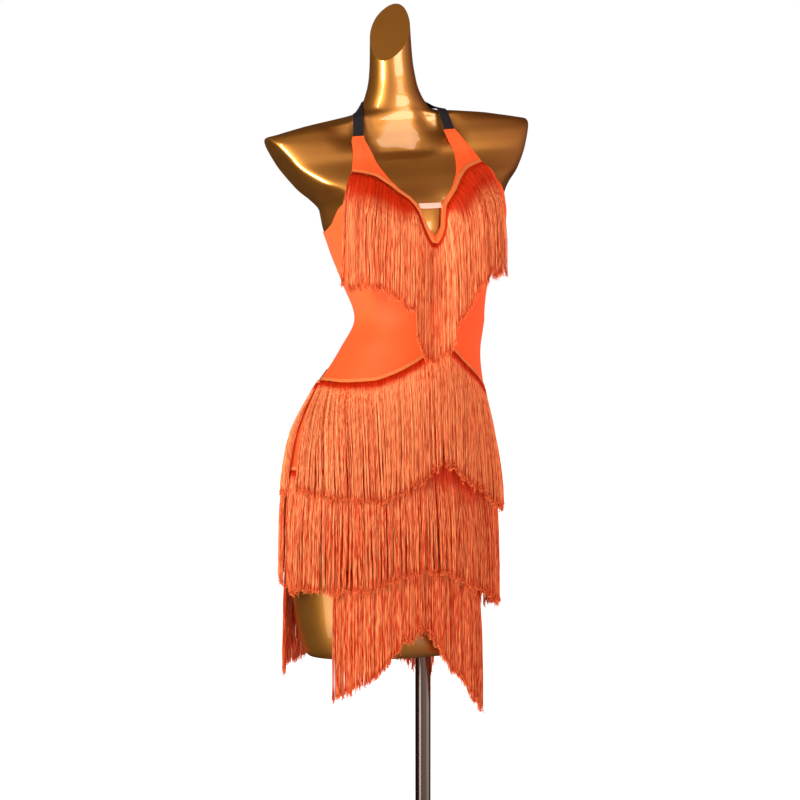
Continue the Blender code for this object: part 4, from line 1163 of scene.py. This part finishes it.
def fringe_tape(run_of, at, top, down):
    """The tape: a flat band with a rounded section and a shallow groove where each row of stitches pulls it in."""
    at, top, down = at[::2], top[::2], down[::2]
    ring = top[:, None] + down[:, None] * (TAPE_ACROSS * TAPE_WIDTH)[None, :, None]
    distance, out = nearest(ring)
    ring = ring + out * (TAPE_STANDOFF + TAPE_RISE * TAPE_THICKNESS - distance)[..., None]
    mesh = mesh_from(run_of.name + "_tape", ring.reshape(-1, 3), tube_faces(len(top), len(TAPE_ACROSS)))
    place = mesh.attributes.new("tape_place", "FLOAT_VECTOR", "POINT")
    spot = np.zeros((len(top), len(TAPE_ACROSS), 3))
    spot[..., 0] = at[:, None]
    spot[..., 1] = TAPE_ACROSS * TAPE_WIDTH
    place.data.foreach_set("vector", spot.ravel())
    return add_to_scene(run_of.name + "_tape", mesh)


def bunches(draw, width, narrow, wide):
    """Splits a width into bunches of random breadth and returns their edges."""
    edges = np.cumsum(draw.uniform(narrow, wide, int(width / narrow) + 4))
    return np.concatenate([[-wide], edges])


def strand_lines(draw, run_of, run, trim, guides, sides, outs):
    """The middle line of every strand of a run: (strand, point, xyz).

    With it come, for each strand, the direction round which its end curls, a tone that is partly random and partly
    painted shade, and its place on the tape.
    """
    width = run[-1]
    count = round(width * run_of.density)
    place = (np.arange(count) + draw.uniform(-0.5, 0.5, count) + 0.5) / count * width
    small, large = bunches(draw, width, *BUNCH_BREADTH), bunches(draw, width, *LOCK_BREADTH)
    bunch, lock = np.searchsorted(small, place), np.searchsorted(large, place)
    bunch_middle = (small[bunch - 1] + small[np.minimum(bunch, len(small) - 1)]) / 2
    lock_middle = (large[lock - 1] + large[np.minimum(lock, len(large) - 1)]) / 2
    layer = draw.choice(len(LAYER_SHARES), count, p=LAYER_SHARES)

    def each(owner, low, high):
        """A random value for each bunch or lock, handed to its strands."""
        return draw.uniform(low, high, owner.max() + 1)[owner]

    length = STRAND_FALL + each(bunch, *BUNCH_LENGTH) + each(lock, *LOCK_LENGTH)
    length += draw.normal(0, STRAND_LENGTH_SPREAD, count) - CURLED_UP - np.interp(place, run, trim)
    share = STRAND_SHARES[None, :]
    s = smooth_step(share * 1.15)
    pull = each(bunch, *BUNCH_PULL)[:, None] * s * (bunch_middle - place)[:, None]
    pull += each(lock, *LOCK_PULL)[:, None] * s * share * (lock_middle - place)[:, None]
    sway = each(lock, *LOCK_SWAY)[:, None] * share * share + each(bunch, *BUNCH_SWAY)[:, None] * share
    phase, rate = each(bunch, 0, 6.3)[:, None], each(bunch, 5, 11)[:, None]
    own_phase, own_rate = draw.uniform(0, 6.3, (count, 1)), draw.uniform(9, 20, (count, 1))
    wave = BUNCH_WAVE * s * np.sin(rate * share + phase) + STRAND_WAVE * s * np.sin(own_rate * share + own_phase)
    own = wave + draw.normal(0, STRAY, wave.shape) * s
    lateral = run_of.gather * (pull + sway) + (0.5 + 0.5 * run_of.gather) * own
    root_depth, more = LAYER_DEPTH
    outward = (layer / (len(LAYER_SHARES) - 1))[:, None] * (root_depth + more * smooth_step(share * 2.5))
    outward = outward + each(bunch, *BUNCH_DEPTH)[:, None] * s + each(lock, *LOCK_DEPTH)[:, None] * share
    outward = outward + draw.uniform(0, STRAND_DEPTH, (count, 1))
    outward = outward + STRAND_SWIRL * s * np.cos(own_rate * share + own_phase)
    outward = outward + np.abs(draw.normal(0, STRAND_SWIRL, wave.shape)) * s

    spot = place / width * (len(guides) - 1)
    low = np.clip(spot.astype(int), 0, len(guides) - 2)
    part = (spot - low)[:, None, None]
    reach = length[:, None] * share / GUIDE_STEP
    row = np.clip(reach.astype(int), 0, guides.shape[1] - 2)
    rest = (reach - row)[..., None]

    def read(grid):
        """The grid's values at every point of every strand, between the four nearest of the guides' points."""
        near = grid[low[:, None], row] * (1 - rest) + grid[low[:, None], row + 1] * rest
        far = grid[low[:, None] + 1, row] * (1 - rest) + grid[low[:, None] + 1, row + 1] * rest
        return near * (1 - part) + far * part

    side, out = unit(read(sides)), unit(read(outs))
    line = read(guides) + side * lateral[..., None] + out * (run_of.depth * outward)[..., None]

    heading = unit(line[:, -1] - line[:, -2])
    spin = draw.uniform(-0.4, math.pi + 0.4, count)[:, None]
    aside = unit(np.cos(spin) * side[:, -1] + np.sin(spin) * out[:, -1])
    bend = draw.uniform(*CURL_TURN, count)[:, None]
    radius = draw.uniform(*CURL_RADIUS, count)[:, None]
    ends = [
        line[:, -1] + radius * ((1 - np.cos(bend * k / CURL_STEPS)) * aside + np.sin(bend * k / CURL_STEPS) * heading)
        for k in range(1, CURL_STEPS + 1)
    ]
    line = np.concatenate([line, np.stack(ends, axis=1)], axis=1)
    # Painted shade: each layer further out is painted lighter, and the inner ones deeper.
    tone = BUNCH_TONE * each(bunch, 0, 1) + STRAND_TONE * draw.uniform(0, 1, count) + LAYER_PAINTED_SHADE * layer
    return line, np.cross(heading, aside), tone, place


def strand_mesh(name, line, fixed, tone, root):
    """Three-sided tubes along lines, closed at both ends.

    Each strand's tone is kept on them, and each point's place along it, as a share of its length and of its root's.
    """
    count, steps = line.shape[:2]
    tangent = unit(np.gradient(line, axis=1))
    first = unit(np.cross(tangent, fixed[:, None]))
    second = np.cross(tangent, first)
    radius = np.full(steps, STRAND_RADIUS)
    radius[-1] = STRAND_RADIUS * 0.45
    corner = np.arange(3) * 2 * math.pi / 3
    ring = (
        line[:, :, None]
        + first[:, :, None] * (radius[None, :, None] * np.cos(corner))[..., None]
        + second[:, :, None] * (radius[None, :, None] * np.sin(corner))[..., None]
    )
    ids = np.arange(count * steps * 3).reshape(count, steps, 3)
    near, far = ids[:, :-1], ids[:, 1:]
    quads = np.stack([near, far, np.roll(far, -1, 2), np.roll(near, -1, 2)], axis=-1).reshape(-1, 4)
    caps = np.concatenate([ids[:, 0], ids[:, -1, ::-1]]).reshape(-1, 3)
    mesh = bpy.data.meshes.new(name)
    mesh.vertices.add(ids.size)
    mesh.vertices.foreach_set("co", ring.ravel())
    mesh.loops.add(quads.size + caps.size)
    mesh.loops.foreach_set("vertex_index", np.concatenate([quads.ravel(), caps.ravel()]))
    mesh.polygons.add(len(quads) + len(caps))
    starts = np.concatenate([np.arange(len(quads)) * 4, quads.size + np.arange(len(caps)) * 3])
    mesh.polygons.foreach_set("loop_start", starts)
    mesh.update(calc_edges=True)
    mesh.validate()
    mesh.shade_smooth()
    share = np.concatenate([STRAND_SHARES, 1 + 0.02 * np.arange(1, CURL_STEPS + 1)])
    for kept, values in (
        ("tone", np.repeat(tone, steps * 3)),
        ("along", np.tile(np.repeat(share, 3), count)),
        ("past_root", np.repeat((share / root[:, None]).ravel(), 3)),
    ):
        mesh.attributes.new(kept, "FLOAT", "POINT").data.foreach_set("value", values)
    return add_to_scene(name, mesh)


# Rayon: filaments with a silky gleam in their own colour. Strands differ a little in tone, from deep to light orange,
# at random, and the inner layers and the lower rows are painted deeper and the hip rows lighter, as painted shade and
# light. Each also differs along itself: dashes some 18 mm long stand for the stitches of a chainette, 1.5 mm long, and
# are in part painted highlights and shade on the crinkled strands. Its root is painted deeper and redder as the shade
# near the tape, just before its end it is painted darker red as shade, and its end is cut and curls up lighter.
rayon, tree, shader = new_material("rayon_chainette", "#E85A2C", 0.36, IOR=1.55, Specular_IOR_Level=0.5)
shader.inputs["Specular Tint"].default_value = linear("#FFC29A")
strand_tone = add_node(tree, "Attribute", attribute_name="tone")
strand_place = add_node(tree, "Attribute", attribute_name="along")
spot = add_node(tree, "TexCoord")
loops = add_node(tree, "Mapping", {"Vector": spot.outputs["Object"], "Scale": (480, 480, 55)})
# Painted highlight and shade: this noise lightens and deepens short dashes across neighbouring strands, for the gleam
# on their crinkles as well as their stitches.
stitch_gleam_noise = add_node(tree, "TexNoise", {"Vector": loops.outputs["Vector"], "Scale": 1.0, "Detail": 1.0})
stitch_gleam_dash = add_node(
    tree,
    "MapRange",
    {"Value": stitch_gleam_noise.outputs["Fac"], "From Min": 0.34, "From Max": 0.66, "To Min": -0.45, "To Max": 0.45},
)
lit = add_node(tree, "Math", {0: strand_tone.outputs["Fac"], 1: stitch_gleam_dash.outputs["Result"]}, operation="ADD")
deep = add_node(tree, "Mix", {0: lit.outputs[0], 6: linear("#D03008"), 7: linear("#FFA064")}, data_type="RGBA")
# Painted shade: each strand is painted a deep red from its start up to its root share, for the shade near the tape and
# under the row above.
past_root = add_node(tree, "Attribute", attribute_name="past_root")
root_shade_share = add_node(tree, "MapRange", {"Value": past_root.outputs["Fac"], "From Min": 0.55, "From Max": 1.0})
root = add_node(tree, "Mix", {0: root_shade_share.outputs["Result"], 6: linear("#D22E08"), 7: deep.outputs[2]}, data_type="RGBA")
# Painted shade: the last few per cent of each strand before its curl are painted a darker red, for the shade between
# the curled ends.
end_shade_share = add_node(tree, "MapRange", {"Value": strand_place.outputs["Fac"], "From Min": 0.95, "From Max": 0.99})
end = add_node(tree, "Mix", {0: end_shade_share.outputs["Result"], 6: root.outputs[2], 7: linear("#CE3A10")}, data_type="RGBA")
curling = add_node(tree, "MapRange", {"Value": strand_place.outputs["Fac"], "From Min": 1.0, "From Max": 1.02})
curl = add_node(
    tree, "Mix", {0: curling.outputs["Result"], 6: end.outputs[2], 7: linear("#FA8046")}, data_type="RGBA"
)
tree.links.new(curl.outputs[2], shader.inputs["Base Color"])

# The tape is cotton and polyester, a lighter yellow orange, ribbed across about every 1 mm where strands enter it.
cotton, tree, shader = new_material("fringe_tape_cotton", "#E0762C", 0.8)
tape_place = add_node(tree, "Attribute", attribute_name="tape_place")
ribs = add_node(
    tree,
    "TexWave",
    {"Vector": tape_place.outputs["Vector"], "Scale": 300.0, "Distortion": 0.8, "Detail": 2.0},
    bands_direction="X",
)
bump = add_node(tree, "Bump", {"Strength": 0.5, "Distance": 0.0006, "Height": ribs.outputs["Fac"]})
tree.links.new(bump.outputs["Normal"], shader.inputs["Normal"])
tint = add_node(tree, "Mix", {0: ribs.outputs["Fac"], 6: linear("#CE6424"), 7: linear("#E88038")}, data_type="RGBA")
tree.links.new(tint.outputs[2], shader.inputs["Base Color"])

# Each run's tape is laid first. Guides then hang from its lower edge, and the strands follow the guides.
tapes, strands = {}, {}
for number, run_of in enumerate(RUNS):
    at, top, down, (lean, root, trim) = tape_frame(run_of)
    tapes[run_of.name] = fringe_tape(run_of, at, top, down)
    tapes[run_of.name].data.materials.append(cotton)
    pick = np.unique(np.round(np.linspace(0, len(at) - 1, round(at[-1] / GUIDE_PITCH) + 1)).astype(int))
    low = top[pick] + down[pick] * TAPE_WIDTH * ROOT_PLACE
    distance, out = nearest(low)
    low = low + out * (STRAND_STANDOFF - distance)[:, None]
    guides = hang(low, run_of.rise, run_of.length, lean[pick], run_of.fade)
    outs = nearest(guides)[1]
    outs[..., 2] = 0
    outs = unit(outs)
    sides = unit(np.gradient(guides, axis=0))
    draw = np.random.default_rng(11 + number)
    line, fixed, tone, place = strand_lines(draw, run_of, at[pick], trim[pick], guides, sides, outs)
    # The run's light adds painted light to the hip rows' tone and painted shade to that of the lower rows.
    piece = strand_mesh(run_of.name + "_strands", line, fixed, tone + run_of.light, np.interp(place, at, root))
    piece.data.materials.append(rayon)
    strands[run_of.name] = piece
    for made in (tapes[run_of.name], piece):
        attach(made, "root")
        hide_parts(run_of.name)

# ---------------------------------------------------------------- the dress put together
# Each cloth panel, a sheet of the knit with its fringe sewn on it, gets the knit's material and takes the place of its
# part. It is cut 7 to 12 per cent smaller in area than it comes to when it is stretched over the form.

for piece, node, flat, area, carries in (
    (bodice_front, "bodice_front", (0.46, 0.44), 0.14, ["bust_fringe"]),
    (bodice_back, "bodice_back", (0.19, 0.105), 0.018, []),
    (
        skirt_front,
        "skirt_front",
        (0.42, 0.36),
        0.115,
        ["hip_fringe_front", "middle_fringe_front", "hem_fringe_front"],
    ),
    (skirt_back, "skirt_back", (0.40, 0.33), 0.10, ["hip_fringe_back", "middle_fringe_back", "hem_fringe_back"]),
):
    piece.data.materials.append(lycra)
    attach(piece, "root")
    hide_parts(node)

low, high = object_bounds()
